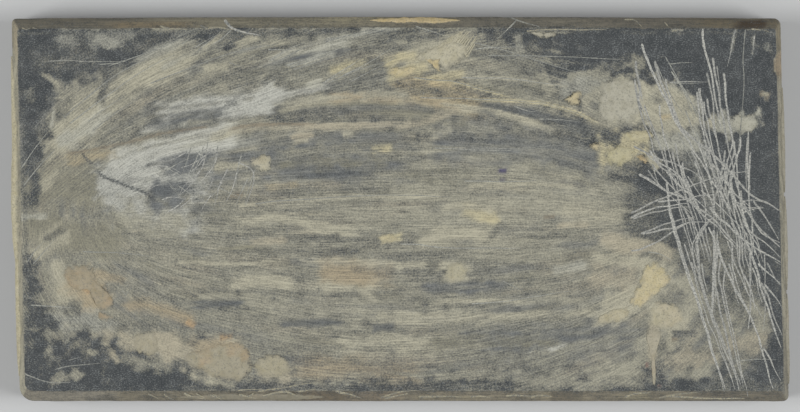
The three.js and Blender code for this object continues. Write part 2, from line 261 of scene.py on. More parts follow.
def even_inset(distance):
    """The same distance inside every side."""
    return dict.fromkeys(bevel_width, distance)


def bevel_inset(climb):
    """How far inside each side the bevel is at this share of its climb to the face."""
    return {side: width * climb**bevel_roll for side, width in bevel_width.items()}


def worn(ring, inner, seed, depth, nick):
    """Moves a ring towards one 1 mm inside it, by noise, and more where nicks are struck."""
    x, y = ring.T
    depth = depth * (0.5 + 0.5 * ragged(x, y, 9, seed))
    depth = depth + nick * smooth(0.5, 0.95, ragged(x, y, 3.2, seed + 5))
    return ring + (inner - ring) * depth[:, None]


def ring_faces(rows, columns):
    """The quads between rows of points, each of which is a closed ring of this many."""
    first = np.arange(rows - 1)[:, None] * columns + np.arange(columns)
    after = np.arange(rows - 1)[:, None] * columns + (np.arange(columns) + 1) % columns
    return np.stack([first, after, after + columns, first + columns], -1).reshape(-1, 4)


def slab_rings():
    """The rings from the face's edge down to the underside, each as points in millimetres."""
    rings = []
    for climb in (1, *bevel_climbs):
        inset = bevel_inset(climb)
        ring = outline(inset)
        inner = outline({side: value + 1 for side, value in inset.items()})
        wear = bevel_wear_depth["upper" if climb > 0.9 else "lower"]
        ring = worn(ring, inner, 11, wear, nick_depth * climb)
        rings.append((ring, slab_thickness - bevel_drop * (1 - climb)))
    for height in side_heights:
        inner = outline(even_inset(1))
        ring = worn(outline(even_inset(0)), inner, 23 + int(height), side_wear_depth, 0)
        rings.append((ring, height))
    rings.append((outline(even_inset(foot_arris)), 0))
    finished = []
    for ring, height in rings:
        x, y = dressed(*ring.T)
        finished.append(np.stack([x, y, np.full(len(x), float(height))], 1))
    return finished


def face_grid(edge):
    """A grid of points inside a ring, each its place between the two pairs of sides, less corners."""
    columns, rows = face_columns, face_rows
    front = edge[: columns + 1]
    right = edge[columns : columns + rows + 1]
    back = edge[columns + rows : 2 * columns + rows + 1][::-1]
    left = np.concatenate([edge[2 * columns + rows :], edge[:1]])[::-1]
    u = np.linspace(0, 1, columns + 1)[None, :, None]
    v = np.linspace(0, 1, rows + 1)[:, None, None]
    grid = (1 - v) * front[None] + v * back[None] + (1 - u) * left[:, None] + u * right[:, None]
    corners = (1 - u) * (1 - v) * front[0] + u * (1 - v) * front[-1]
    corners = corners + (1 - u) * v * back[0] + u * v * back[-1]
    return grid - corners


def slab_mesh():
    """Points and faces of the closed slab: the face's grid, then rings down to the underside."""
    rings = slab_rings()
    grid = face_grid(rings[0])
    columns, rows = face_columns, face_rows
    number = np.arange(grid.shape[0] * grid.shape[1]).reshape(grid.shape[:2])
    edge = np.concatenate([number[0, :-1], number[:-1, -1], number[-1, :0:-1], number[:0:-1, 0]])
    quads = np.stack([number[:-1, :-1], number[:-1, 1:], number[1:, 1:], number[1:, :-1]], -1)
    faces = [quads.reshape(-1, 4)]
    points = [grid.reshape(-1, 3)]
    total = len(points[0])
    upper = edge
    for ring in rings[1:]:
        lower = total + np.arange(len(ring))
        faces.append(np.stack([upper, lower, np.roll(lower, -1), np.roll(upper, -1)], -1))
        points.append(ring)
        total += len(ring)
        upper = lower
    points.append(np.array([[0.0, 0.0, 0.0]]))
    fan = np.stack([np.roll(upper, -1), upper, np.full(len(upper), total)], -1)
    points = np.concatenate(points)
    return points, faces, fan, len(grid.reshape(-1, 3)), rings


def struck(points):
    """Heights with the flake's scoop taken out, and the scoop's depth at each point.

    The scoop is an ellipsoid centred on the side's top, with noise on its outline.
    """
    reach = bevel_width["right"] + chip_bite
    half = chip_length / 2 / math.sqrt(1 - (bevel_width["right"] / reach) ** 2)
    x, y = dressed(half_length, half_width - chip_from_back)
    wobble = 1 + 0.12 * ragged(points[:, 0], points[:, 1], 2.5, 77)
    across = ((points[:, 0] - x) / reach) ** 2 + ((points[:, 1] - y) / half) ** 2
    depth = chip_depth * np.sqrt(np.clip(1 - across * wobble, 0, 1))
    inside = np.minimum(points[:, 2], slab_thickness - depth * wobble)
    upper = points[:, 2] > slab_thickness - bevel_drop - 1
    return np.where(upper & (depth > 0), inside, points[:, 2]), depth


slab_points, slab_quads, slab_fan, face_count, slab_ring_points = slab_mesh()
slab_points[:, 2], chip_sink = struck(slab_points)
ring_count = len(slab_ring_points)
ring_length = len(slab_ring_points[0])
point_x, point_y, point_z = slab_points.T
photo_x = point_x / pixel + photo_middle[0]
photo_y = photo_middle[1] - point_y / pixel
on_top = np.arange(len(slab_points)) < face_count

# The film of wiped paint, as a paint colour, a share of cover and how far it is combed into
# streaks, at each point of the slab. Each wipe, drag or rub below is one pull over it.

haze = tint(160, 157, 139)
cream = tint(167, 163, 143)
pale = tint(168, 167, 153)
white = tint(178, 178, 168)
peach = tint(166, 159, 138)
flesh = tint(158, 146, 121)
orange = tint(172, 146, 110)
ochre = tint(177, 163, 129)
yellow = tint(178, 170, 138)
brown = tint(124, 114, 97)
olive = tint(136, 133, 115)
blue_grey = tint(114, 117, 117)
blue_dark = tint(96, 100, 102)
violet = tint(80, 76, 104)
red = tint(118, 58, 58)

swirl_middle = on_face((385, 218))
swirl_focus = 275 * pixel
streak_width = 0.6
streak_length = 22
sweep_rise = 1.0  # how much steeper the sweeping pulls are at the left-hand edge than far right
sweep_slope = 0.2
sweep_fall = 45


def swirl_flow(x, y):
    """Place along and across the oval swirl: the angle round, and the half height, of the ellipse
    through the point that shares its two foci with all the others."""
    left = np.hypot(x - swirl_middle[0] + swirl_focus, y - swirl_middle[1])
    right = np.hypot(x - swirl_middle[0] - swirl_focus, y - swirl_middle[1])
    half_height = np.sqrt(np.maximum(((left + right) / 2) ** 2 - swirl_focus**2, 0))
    angle = np.arccos(np.clip((left - right) / 2 / swirl_focus, -1, 1))
    side = np.where(y > swirl_middle[1], 1, -1)
    return (math.pi / 2 - angle) * swirl_focus, side * half_height


def sweep_flow(x, y):
    """Place along and across the pulls that rise from the left edge and level out to the right."""
    steepness = sweep_rise * np.exp(-(x + half_length) / sweep_fall)
    rise = sweep_slope * x - sweep_fall * steepness
    return 1.2 * x, 0.85 * (y - rise)


film_colour = np.tile(haze, (len(slab_points), 1))
film_cover = np.full(len(slab_points), -0.45)
film_combing = np.full(len(slab_points), 0.25)
wipe_seeds = itertools.count(100)


def smooth_path(points, step):
    """A Catmull-Rom curve through the points, cut into pieces about one step long."""
    points = np.asarray(points, float)
    ends = np.concatenate([[2 * points[0] - points[1]], points, [2 * points[-1] - points[-2]]])
    t = np.linspace(0, 1, 13)[:-1, None]
    before, start, stop, after = ends[:-3, None], ends[1:-2, None], ends[2:-1, None], ends[3:, None]
    bend = (2 * start + (stop - before) * t + (2 * before - 5 * start + 4 * stop - after) * t**2) / 2
    bend = bend + (3 * start - before - 3 * stop + after) * t**3 / 2
    line = np.concatenate([bend.reshape(-1, points.shape[1]), points[-1:]])
    length = along_line(line)[-1]
    pieces = max(2, int(round(length / step)))
    return points_along(line, np.linspace(0, length, pieces + 1))


def wipe(paint, cover, width, *path, soft=0.6, comb=0.5, ends=0.2, rough=0.4, combing=None):
    """Draws one pull over the film, along a path of pixels and as many pixels wide.

    A point's place along the path and its distance from it give the pull's strength, which is 1
    inside and falls to 0 over the soft share of the half width and the ends' share of the length.
    Noise drawn out along the path combs it into streaks, and round noise makes its edge ragged.
    A pull of no paint changes the cover alone, and one of no cover only tints it.
    """
    seed = 10 * next(wipe_seeds)
    line = smooth_path(on_face(path), 1.5)
    half = width * pixel / 2
    reach = half * 1.6 + 1
    low, high = line.min(0) - reach, line.max(0) + reach
    near = on_top & (point_x > low[0]) & (point_x < high[0]) & (point_y > low[1]) & (point_y < high[1])
    near = np.flatnonzero(near)
    x, y = point_x[near], point_y[near]
    nearest = ((x[:, None] - line[:, 0]) ** 2 + (y[:, None] - line[:, 1]) ** 2).argmin(1)
    way = np.gradient(line, axis=0)
    way = way / np.linalg.norm(way, axis=1)[:, None]
    length = along_line(line)
    off = np.stack([x, y], 1) - line[nearest]
    along = length[nearest] + (off * way[nearest]).sum(1)
    across = way[nearest, 0] * off[:, 1] - way[nearest, 1] * off[:, 0]
    past = np.maximum(0, np.maximum(-along, along - length[-1]))
    distance = np.hypot(across, past) / half
    streak = noise(along / 14 + 40, across / 1.5 + 60, seed)
    streak = streak + 0.6 * noise(along / 7, across / 0.8, seed + 1)
    edge = ragged(x, y, 3.5, seed + 2)
    strength = 1 - smooth(1 - soft, 1.3, distance + rough * edge + 0.15 * comb * streak)
    fade = np.minimum(along, length[-1] - along) / (ends * length[-1] + 1e-6)
    strength = strength * smooth(0, 1, fade + 0.5 + 0.8 * comb * streak)
    strength = strength * np.clip(1 - comb * (0.45 - 0.6 * streak), 0, 1)
    if cover is not None:
        film_cover[near] += (cover - film_cover[near]) * strength
    if combing is not None:
        film_combing[near] += (combing - film_combing[near]) * strength
    if paint is not None:
        film_colour[near] += (paint - film_colour[near]) * strength[:, None]


def drag(paint, cover, width, *path, soft=0.5, comb=0.6, **others):
    """A pull with the knife's edge: a wipe that is a little crisper and combed further."""
    wipe(paint, cover, width, *path, soft=soft, comb=comb, **others)


def rub(paint, cover, width, *path, soft=0.8, comb=0.1, rough=0.8, **others):
    """A pull with a fingertip or a dusty rag: a wipe that is softer, torn and hardly combed."""
    wipe(paint, cover, width, *path, soft=soft, comb=comb, rough=rough, **others)


# Thin haze that the hand has rubbed over most of the face.
wipe(haze, 0.62, 240, (0, 222), (330, 222), (640, 222), soft=0.3, comb=0.3, ends=0.1, combing=0.9)
wipe(haze, 0.55, 90, (210, 350), (400, 348), (690, 340), comb=0.4, combing=0.8)
drag(haze, 0.55, 80, (170, 80), (300, 62), (440, 62), (560, 84), comb=0.4, combing=0.8)
wipe(haze, 0.5, 80, (46, 190), (96, 118), (200, 62), ends=0.1, combing=0.8)
wipe(haze, 0.5, 60, (50, 240), (90, 290), (190, 345), soft=0.7, comb=0.3, combing=0.4)
wipe(haze, 0.45, 110, (650, 250), (690, 320), (760, 350), soft=0.7, comb=0.2, combing=0.2)
drag(blue_grey, 0.55, 60, (110, 190), (200, 165), (400, 158), soft=0.8)
wipe(blue_grey, 0.55, 26, (150, 118), (280, 104), (440, 112), (540, 120), soft=0.7, comb=0.7)

# The haze is mottled along the swirl, where warm, green and blue paint were rubbed together.
swirl_along, swirl_across = swirl_flow(point_x, point_y)
for paint, seed, share in ((peach, 51, 0.7), (olive, 52, 0.6), (blue_grey, 53, 0.55), (cream, 54, 0.6)):
    drift = noise(swirl_along / 26, swirl_across / 4.5, seed)
    drift = drift + 0.6 * noise(swirl_along / 11, swirl_across / 1.9, seed + 9)
    share = (share * smooth(0.1, 1.1, drift) * on_top)[:, None]
    film_colour += (paint - film_colour) * share
thickness = noise(swirl_along / 20, swirl_across / 3, 61)
thickness = thickness + 0.7 * noise(swirl_along / 8, swirl_across / 1.5, 62)
film_cover += 0.1 * thickness * on_top * smooth(0.15, 0.4, film_cover)

# The back left: pulls that rise to the right, and clean stone in the corner.
rub(pale, 0.42, 24, (56, 42), (98, 37), (140, 34), comb=0.3, rough=0.9)
wipe(cream, 0.9, 5, (41, 74), (51, 79), (60, 88), soft=0.4, comb=0.2, ends=0.1)
rub(cream, 0.55, 28, (58, 98), (80, 92), (106, 84), comb=0.3, rough=0.7)
wipe(cream, 0.75, 34, (48, 156), (85, 114), (118, 92), (160, 68), (196, 50), comb=0.8)
drag(cream, 0.95, 24, (122, 88), (150, 72), (184, 62), soft=0.7)
wipe(cream, 0.9, 28, (56, 146), (74, 130), (100, 114), soft=0.7)
drag(pale, 0.8, 14, (138, 60), (170, 46), (206, 31), comb=1)
drag(pale, 0.75, 10, (165, 68), (195, 52), (226, 42), comb=1)
drag(cream, 0.85, 12, (164, 74), (178, 66), (194, 58), soft=0.8)
wipe(None, 0.2, 9, (98, 92), (106, 84), (116, 76), soft=0.7)
rub(pale, 0.6, 14, (94, 38), (106, 42), (118, 44), comb=0.2)
rub(None, -0.2, 14, (34, 54), (52, 52), (70, 56), comb=0.2)
rub(None, -0.2, 24, (26, 96), (30, 126), (32, 160), (30, 206), soft=0.6, rough=0.6)
rub(None, 0.0, 14, (44, 122), (48, 130), (50, 140), comb=0.2)
wipe(cream, 0.8, 6, (204, 49), (217, 39), (230, 30), soft=0.5)
wipe(None, -0.3, 9, (224, 50), (232, 42), (242, 34), comb=0.2)
wipe(cream, 0.85, 8, (150, 29), (166, 30), (182, 29), comb=0.4)
wipe(None, 0.08, 11, (120, 56), (150, 42), (176, 33), (214, 31), comb=0.6)
wipe(None, 0.1, 34, (30, 56), (60, 60), (100, 56), soft=0.8, comb=0.2)
drag(pale, 0.85, 4, (54, 110), (53, 120), (51, 128), comb=0.3)
rub(None, -0.15, 12, (36, 48), (54, 54), (70, 56), soft=0.7, rough=0.7)
wipe(None, 0.0, 9, (158, 44), (174, 39), (190, 36), soft=0.7, comb=0.4)
wipe(None, 0.05, 10, (108, 72), (104, 90), (100, 104), soft=0.7, comb=0.2)
wipe(cream, 0.9, 9, (146, 84), (166, 78), (186, 72), soft=0.7)
drag(white, 0.85, 9, (140, 132), (162, 127), (188, 122), soft=0.7)

# Behind the middle: streaks that level out to the right, with patches left between them.
wipe(None, 0.25, 9, (220, 44), (242, 38), soft=0.7)
wipe(cream, 0.9, 9, (204, 70), (214, 67), (227, 68), comb=0.3)
wipe(cream, 0.85, 8, (236, 46), (246, 41), (258, 38), comb=0.4)
wipe(pale, 0.85, 18, (262, 68), (300, 52), (346, 40), comb=1)
wipe(pale, 0.8, 12, (318, 50), (350, 38), (392, 27), comb=1)
drag(blue_dark, 0.6, 7, (266, 68), (300, 58), (350, 52), comb=0.8)
drag(yellow, 0.8, 12, (332, 72), (350, 66), (368, 60), soft=0.7)
wipe(None, 0.25, 12, (326, 88), (360, 82), (394, 78), comb=0.6)
wipe(None, 0.3, 8, (266, 77), (296, 73), (324, 70), comb=0.6)
wipe(blue_dark, 0.35, 13, (150, 125), (196, 114), (240, 110), (276, 110), comb=0.7)
wipe(white, 0.8, 22, (160, 112), (205, 104), (262, 98), soft=0.8, comb=0.8)
wipe(white, 0.9, 17, (220, 112), (246, 108), (266, 102), (284, 93), soft=0.8)
wipe(white, 0.94, 17, (262, 112), (266, 100), (276, 88), soft=0.7, comb=0.3)
wipe(white, 0.95, 8, (270, 98), (300, 92), (330, 86), comb=0.6)
wipe(white, 0.88, 20, (256, 104), (264, 93), (276, 84), soft=0.8, ends=0.3)
wipe(pale, 0.95, 8, (306, 87), (314, 84), (322, 82), comb=0.3)
wipe(None, 0.2, 12, (276, 119), (320, 113), (400, 112), (470, 116), comb=0.6)
drag(olive, 0.95, 5, (274, 114), (300, 107), (340, 103), (402, 104), comb=0.4, ends=0.08)
wipe(
    cream, 0.95, 11, (276, 109), (316, 100), (350, 97), (396, 98), (440, 104), (476, 112), soft=0.5,
    ends=0.08,
)
wipe(flesh, None, 12, (330, 98), (400, 98), (470, 108), soft=0.7, comb=0.7)
wipe(None, 0.25, 6, (334, 90), (380, 89), (426, 93))
wipe(cream, 0.85, 10, (456, 106), (484, 109), (516, 118), (548, 132), soft=0.7)
wipe(olive, 0.75, 22, (340, 112), (400, 112), (470, 118), soft=0.8, comb=0.7)
drag(ochre, None, 34, (396, 86), (440, 92), (486, 108), soft=0.9)

# The arcs of the swirl: two long pulls that cross the stone from the left.
wipe(white, 0.98, 20, (112, 160), (150, 151), (200, 139), (236, 130), soft=0.5, ends=0.1)
wipe(white, 0.97, 13, (128, 162), (152, 157), (178, 150))
wipe(pale, 0.85, 11, (180, 148), (222, 142), (262, 140), soft=0.7, comb=0.7)
drag(brown, 0.85, 3.5, (68, 154), (97, 149), (130, 142), (165, 133), (206, 127), comb=0.3, ends=0.1)
wipe(cream, 0.9, 14, (212, 144), (228, 133), (240, 130), comb=0.4)
wipe(peach, 0.85, 8, (232, 131), (270, 127), (310, 127), (360, 126), (404, 125), soft=0.5)
drag(brown, 0.9, 4, (228, 130), (246, 126), (276, 124), (312, 125), comb=0.3)
wipe(peach, 0.85, 10, (398, 128), (425, 122), (455, 110), (476, 112), soft=0.7)
drag(cream, 0.85, 5, (458, 109), (494, 113), (522, 118), (556, 131), comb=0.4, ends=0.1)
drag(blue_dark, 0.35, 9, (470, 108), (510, 110), (553, 119), (600, 132))
wipe(None, 0.08, 24, (552, 130), (590, 138), (640, 144), comb=0.3)
wipe(None, 0.3, 10, (604, 146), (586, 162), (556, 177), soft=0.7)
wipe(white, 0.98, 12, (156, 160), (190, 152), (234, 143), comb=0.4)
wipe(white, 0.95, 9, (246, 116), (258, 112), (274, 110), comb=0.4)
wipe(cream, 0.85, 8, (294, 147), (300, 142), (308, 140), soft=0.7, comb=0.3)
wipe(None, 0.2, 8, (262, 86), (272, 78), (280, 72), soft=0.7, comb=0.4)
wipe(None, 0.3, 6, (224, 110), (230, 104), (238, 102), soft=0.7, comb=0.3)
wipe(None, 0.3, 9, (338, 84), (352, 80), (368, 78), soft=0.7)
drag(pale, 0.85, 8, (302, 64), (318, 58), (334, 54), soft=0.7)
wipe(yellow, 0.9, 10, (428, 80), (446, 76), (464, 74), soft=0.7)
wipe(cream, 0.85, 12, (430, 134), (440, 130), (452, 128), soft=0.7)
rub(haze, 0.75, 16, (540, 74), (546, 84), (552, 94), comb=0.3)
rub(haze, 0.75, 12, (566, 82), (582, 76), (600, 74), comb=0.3)

# The left: a brown haze, then a white cloud that has been scratched through.
wipe(olive, 0.68, 46, (28, 196), (62, 182), (104, 192), soft=0.7, comb=0.3)
wipe(tint(158, 148, 122), 0.8, 13, (66, 162), (88, 157), (114, 154), soft=0.7, comb=0.3)
wipe(cream, 0.8, 12, (38, 190), (50, 182), (60, 172), soft=0.7)
rub(white, 0.85, 34, (100, 172), (150, 176), (205, 190), comb=0.4)
rub(white, 0.75, 30, (108, 200), (150, 212), (200, 224), comb=0.4)
wipe(blue_dark, 0.3, 16, (148, 194), (166, 190), (190, 186), soft=0.7)
drag(blue_dark, 0.35, 10, (158, 162), (190, 157), (210, 156), soft=0.7)
wipe(olive, 0.72, 40, (26, 226), (70, 236), (120, 244), comb=0.2)
drag(pale, 0.8, 7, (19, 218), (34, 216), (48, 216), comb=0.4)
drag(cream, 0.9, 26, (24, 262), (42, 246), (62, 232), comb=1)
rub(None, -0.2, 18, (26, 262), (32, 280), (32, 302), (44, 322), soft=0.7, comb=0.2)
wipe(None, 0.3, 10, (46, 240), (56, 234), (66, 230), soft=0.8)
rub(white, 0.8, 16, (98, 188), (116, 186), (136, 190), comb=0.3)
wipe(white, 0.9, 7, (146, 186), (166, 186), (188, 184), comb=0.3, rough=0.6)
rub(None, 0.35, 12, (190, 176), (196, 200), (190, 236), comb=0.2)
rub(None, -0.2, 12, (26, 168), (36, 178), (34, 204), soft=0.7)
rub(None, 0.0, 8, (24, 256), (34, 262), (40, 266), soft=0.7)

# The front left: flesh colour and orange, then cream patches towards the middle of the front.
wipe(cream, 0.9, 20, (54, 262), (62, 280), (68, 300), comb=0.3)
drag(flesh, 0.95, 36, (74, 274), (88, 290), (104, 306), comb=0.2)
wipe(flesh, 0.85, 9, (94, 272), (110, 277), (126, 281), comb=0.3)
wipe(None, 0.12, 12, (104, 285), (112, 292), soft=0.7)
wipe(orange, 0.8, 6, (84, 288), (90, 293), soft=0.8)
rub(pale, 0.5, 26, (48, 318), (80, 322), (112, 326), comb=0.5, rough=0.7)
wipe(flesh, 0.8, 17, (124, 304), (150, 306), (190, 319), soft=0.8, comb=0.4)
wipe(None, 0.25, 14, (112, 318), (150, 326), (180, 330), soft=0.8, comb=0.4)
wipe(orange, 0.85, 7, (187, 320), (195, 326), soft=0.8)
rub(peach, 0.88, 26, (118, 338), (146, 342), (176, 350), comb=0.3, rough=0.7)
rub(peach, 0.85, 34, (152, 348), (190, 354), (220, 360), soft=0.7, comb=0.3, rough=0.6)
drag(peach, 0.9, 34, (204, 360), (226, 358), (246, 362), comb=0.2, rough=0.6)
rub(cream, 0.8, 14, (190, 374), (212, 380), (236, 384), comb=0.4)
wipe(flesh, None, 24, (190, 350), (214, 346), (240, 350), soft=0.9, comb=0.4)
rub(haze, 0.5, 16, (122, 356), (148, 362), (172, 368), soft=0.9, comb=0.2, rough=1.0)
wipe(orange, 0.5, 8, (220, 338), (232, 336), soft=0.9)
wipe(peach, 0.85, 20, (256, 370), (274, 370), (291, 372), comb=0.3)
wipe(peach, 0.75, 18, (294, 371), (320, 371), (346, 368), comb=0.6)
wipe(None, 0.04, 7, (180, 386), (212, 391), (270, 390), (330, 388))
wipe(None, 0.05, 6, (300, 390), (360, 389), (420, 388), (540, 386), comb=0.6)
rub(haze, 0.55, 20, (340, 372), (384, 372), (430, 376), comb=0.5)
drag(flesh, None, 30, (296, 368), (350, 368), (420, 376), soft=0.9)
rub(haze, 0.62, 14, (50, 380), (68, 376), (86, 374), comb=0.2, rough=0.9)
rub(peach, 0.8, 18, (104, 330), (110, 346), (120, 362), rough=0.9)
rub(haze, 0.7, 7, (312, 382), (324, 384), (336, 382), comb=0.3)
rub(haze, 0.7, 8, (436, 378), (448, 376), (460, 378), comb=0.3)
rub(None, -0.2, 12, (24, 318), (44, 320), (60, 326), soft=0.7)
rub(None, 0.35, 12, (108, 286), (130, 292), (152, 298), comb=0.3)
rub(None, 0.35, 8, (152, 276), (166, 280), (182, 284), comb=0.3)

# The middle, from back to front.
wipe(peach, 0.85, 11, (292, 138), (302, 136), (313, 136), soft=0.7)
wipe(cream, 0.85, 8, (342, 136), (354, 134), soft=0.7)
wipe(yellow, 0.85, 9, (371, 151), (391, 148), soft=0.7, comb=0.4)
wipe(cream, 0.75, 11, (214, 168), (248, 165), comb=0.3)
drag(blue_grey, 0.42, 12, (262, 152), (320, 150), (380, 156), comb=0.9)
drag(blue_dark, 0.3, 6, (300, 177), (340, 174), (376, 174))
drag(ochre, 0.65, 8, (264, 188), (298, 184), soft=0.7)
wipe(brown, 0.75, 7, (230, 196), (243, 195), soft=0.8)
wipe(haze, 0.8, 30, (430, 154), (480, 160), (540, 158), soft=0.8, comb=0.8)
wipe(blue_grey, None, 40, (440, 146), (520, 148), (600, 160), soft=0.9, comb=0.7)
wipe(None, 0.35, 8, (404, 148), (424, 147), (444, 147), soft=0.7)
drag(haze, 0.8, 16, (510, 170), (544, 171), (572, 176), soft=0.8)
wipe(haze, 0.75, 18, (388, 194), (424, 190), (470, 190), soft=0.8, comb=0.7)
drag(haze, 0.8, 44, (396, 212), (520, 206), (610, 204), soft=0.7)
rub(violet, 0.75, 5, (498, 171), (506, 171), soft=0.9, comb=0.5)
wipe(violet, 0.6, 3, (499, 180), (505, 180), soft=0.8)
wipe(cream, 0.92, 11, (234, 222), (280, 219), (320, 228), (356, 232))
wipe(yellow, 0.95, 9, (380, 240), (402, 237), comb=0.3)
wipe(peach, 0.85, 7, (250, 242), (286, 240))
drag(olive, 0.9, 4, (215, 249), (253, 247), comb=0.4)
drag(None, 0.15, 6, (302, 239), (340, 236))
drag(None, 0.3, 9, (250, 258), (282, 252), (314, 252), comb=0.7)
drag(None, 0.2, 8, (312, 255), (356, 252), comb=0.7)
drag(None, 0.4, 12, (270, 277), (318, 268))
drag(blue_dark, 0.45, 10, (192, 305), (242, 302))
wipe(cream, 0.88, 15, (230, 284), (262, 280), (292, 283), comb=0.3)
rub(None, 0.4, 18, (112, 280), (140, 290), (166, 296), comb=0.4)
drag(haze, 0.85, 8, (200, 297), (230, 296), (260, 296), soft=0.8)
wipe(haze, 0.75, 22, (250, 306), (310, 306), (370, 310), soft=0.8, comb=0.7)
wipe(None, 0.3, 12, (384, 324), (404, 330), (400, 340), soft=0.8)
drag(cream, 0.93, 24, (316, 277), (345, 280), (376, 286), comb=0.3)
wipe(cream, 0.9, 9, (300, 263), (350, 262), (396, 264), comb=0.6)
wipe(flesh, None, 26, (320, 268), (350, 272), (392, 278), soft=0.9, comb=0.4)
wipe(olive, 0.8, 7, (354, 286), (366, 285), soft=0.8)
wipe(yellow, 0.92, 16, (462, 208), (480, 214), (498, 219), comb=0.4)
wipe(cream, 0.92, 18, (420, 240), (458, 236), (500, 235))
wipe(None, 0.35, 9, (484, 241), (494, 232), (505, 224), soft=0.5)
drag(None, 0.3, 10, (396, 257), (450, 252), comb=0.7)
drag(None, 0.32, 9, (476, 268), (504, 264))
drag(blue_grey, 0.3, 12, (424, 289), (480, 287), (510, 287), comb=0.7)
drag(haze, 0.8, 10, (512, 302), (540, 299), (566, 298), soft=0.8)
drag(cream, 0.95, 16, (448, 272), (464, 272), comb=0.2)
wipe(cream, 0.85, 9, (396, 268), (427, 264), soft=0.5)
wipe(pale, 0.8, 12, (552, 271), (584, 264), soft=0.7, comb=0.4)
wipe(brown, 0.8, 5, (543, 217), (554, 217), soft=0.8)
wipe(peach, 0.8, 9, (558, 226), (588, 223), soft=0.7, comb=0.3)
drag(cream, 0.8, 13, (338, 343), (372, 338), (404, 338))
wipe(cream, 0.92, 13, (380, 318), (450, 318), (505, 319), soft=0.5)
wipe(cream, 0.85, 7, (490, 317), (560, 313), (615, 314), soft=0.5)
drag(blue_grey, 0.42, 9, (460, 330), (520, 329), (578, 326))
drag(blue_grey, None, 44, (480, 346), (560, 342), (630, 334), soft=0.9)
drag(cream, 0.8, 17, (396, 344), (426, 344), (458, 347))
wipe(None, 0.4, 10, (246, 351), (296, 349), (340, 353), soft=0.5)
drag(blue_dark, 0.4, 8, (280, 324), (342, 322))
drag(blue_dark, 0.4, 9, (372, 328), (394, 326), comb=0.4)
wipe(None, 0.35, 18, (440, 364), (520, 360), (570, 356), soft=0.8, comb=0.8)
rub(haze, 0.6, 12, (440, 374), (520, 376), (570, 378), comb=0.6)
rub(haze, 0.75, 28, (586, 374), (612, 370), (640, 370), comb=0.4)
wipe(haze, 0.7, 14, (554, 350), (584, 344), (616, 338), soft=0.8)
rub(haze, 0.65, 10, (516, 385), (570, 385), (640, 384), comb=0.4, rough=0.9)
rub(haze, 0.7, 16, (664, 376), (690, 374), (712, 372), comb=0.2)
wipe(white, 0.92, 5, (529, 354), (545, 351), (566, 345), comb=0.4)

# The back right: ochre beside the brushed dab, then cream patches on clean stone.
wipe(cream, 0.98, 28, (406, 62), (434, 52), (462, 38))
wipe(yellow, 0.92, 13, (386, 66), (402, 58), (416, 56), comb=0.4)
wipe(yellow, 0.88, 14, (386, 78), (404, 71), (426, 66))
wipe(ochre, 0.85, 8, (429, 82), (453, 84), soft=0.7, comb=0.3)
drag(pale, 0.6, 9, (517, 33), (520, 52), soft=0.7)
drag(cream, 0.85, 4, (527, 33), (545, 33), (569, 32), comb=0.3)
rub(pale, 0.6, 22, (560, 92), (584, 86), (608, 84), comb=0.2)
rub(cream, 0.88, 13, (580, 102), (590, 96), (602, 92), soft=0.7)
rub(haze, 0.55, 62, (590, 100), (640, 100), (690, 118))
rub(cream, 0.97, 44, (610, 98), (630, 99), (648, 102), soft=0.4, ends=0.3, rough=0.6)
rub(cream, 0.9, 26, (648, 116), (668, 122), (694, 122), soft=0.7, rough=0.9)
rub(pale, 0.75, 12, (666, 88), (684, 92), (704, 112), rough=0.9)
rub(None, 0.1, 10, (654, 104), (672, 104), (688, 99), rough=0.9)
rub(cream, 0.9, 12, (648, 156), (652, 162), (658, 168), soft=0.7, rough=0.7)
rub(None, 0.0, 9, (660, 172), (680, 172), (694, 162), rough=0.7)
rub(None, -0.3, 14, (584, 142), (608, 137), (634, 133), (652, 128), soft=0.7, comb=0.5)
rub(cream, 0.9, 16, (690, 122), (704, 122), (716, 120), rough=0.9)
rub(pale, 0.7, 20, (716, 122), (730, 126), (744, 130), soft=0.9, rough=0.9)
rub(haze, 0.5, 14, (612, 68), (628, 62), (644, 64), soft=0.9, rough=0.9)
rub(yellow, 0.85, 32, (598, 150), (622, 148), (648, 152), soft=0.7, comb=0.2, rough=0.9)
drag(yellow, 0.95, 11, (620, 137), (648, 134), comb=0.2)
wipe(ochre, 0.8, 8, (660, 119), (670, 117), soft=0.8)
rub(pale, 0.85, 20, (736, 124), (748, 122), (762, 118), rough=0.9)
wipe(flesh, 0.8, 9, (678, 149), (680, 161), soft=0.8)
rub(brown, 0.6, 10, (758, 94), (769, 96))
rub(cream, 0.95, 5, (761, 93), (767, 95), soft=0.6)
rub(pale, 0.2, 9, (750, 44), (764, 48), (772, 54), soft=0.9, rough=1.0)
rub(pale, 0.4, 4, (734, 30), (732, 42), (730, 52), comb=0.4, rough=0.9)
rub(pale, 0.4, 4, (753, 34), (752, 44), (751, 54), comb=0.4, rough=0.9)
rub(pale, 0.7, 3, (671, 31), (677, 30), (683, 31), soft=0.6, comb=0.2)
rub(haze, 0.5, 24, (598, 196), (620, 192), (640, 186), comb=0.2)
rub(None, -0.1, 10, (608, 176), (626, 178), (644, 172))

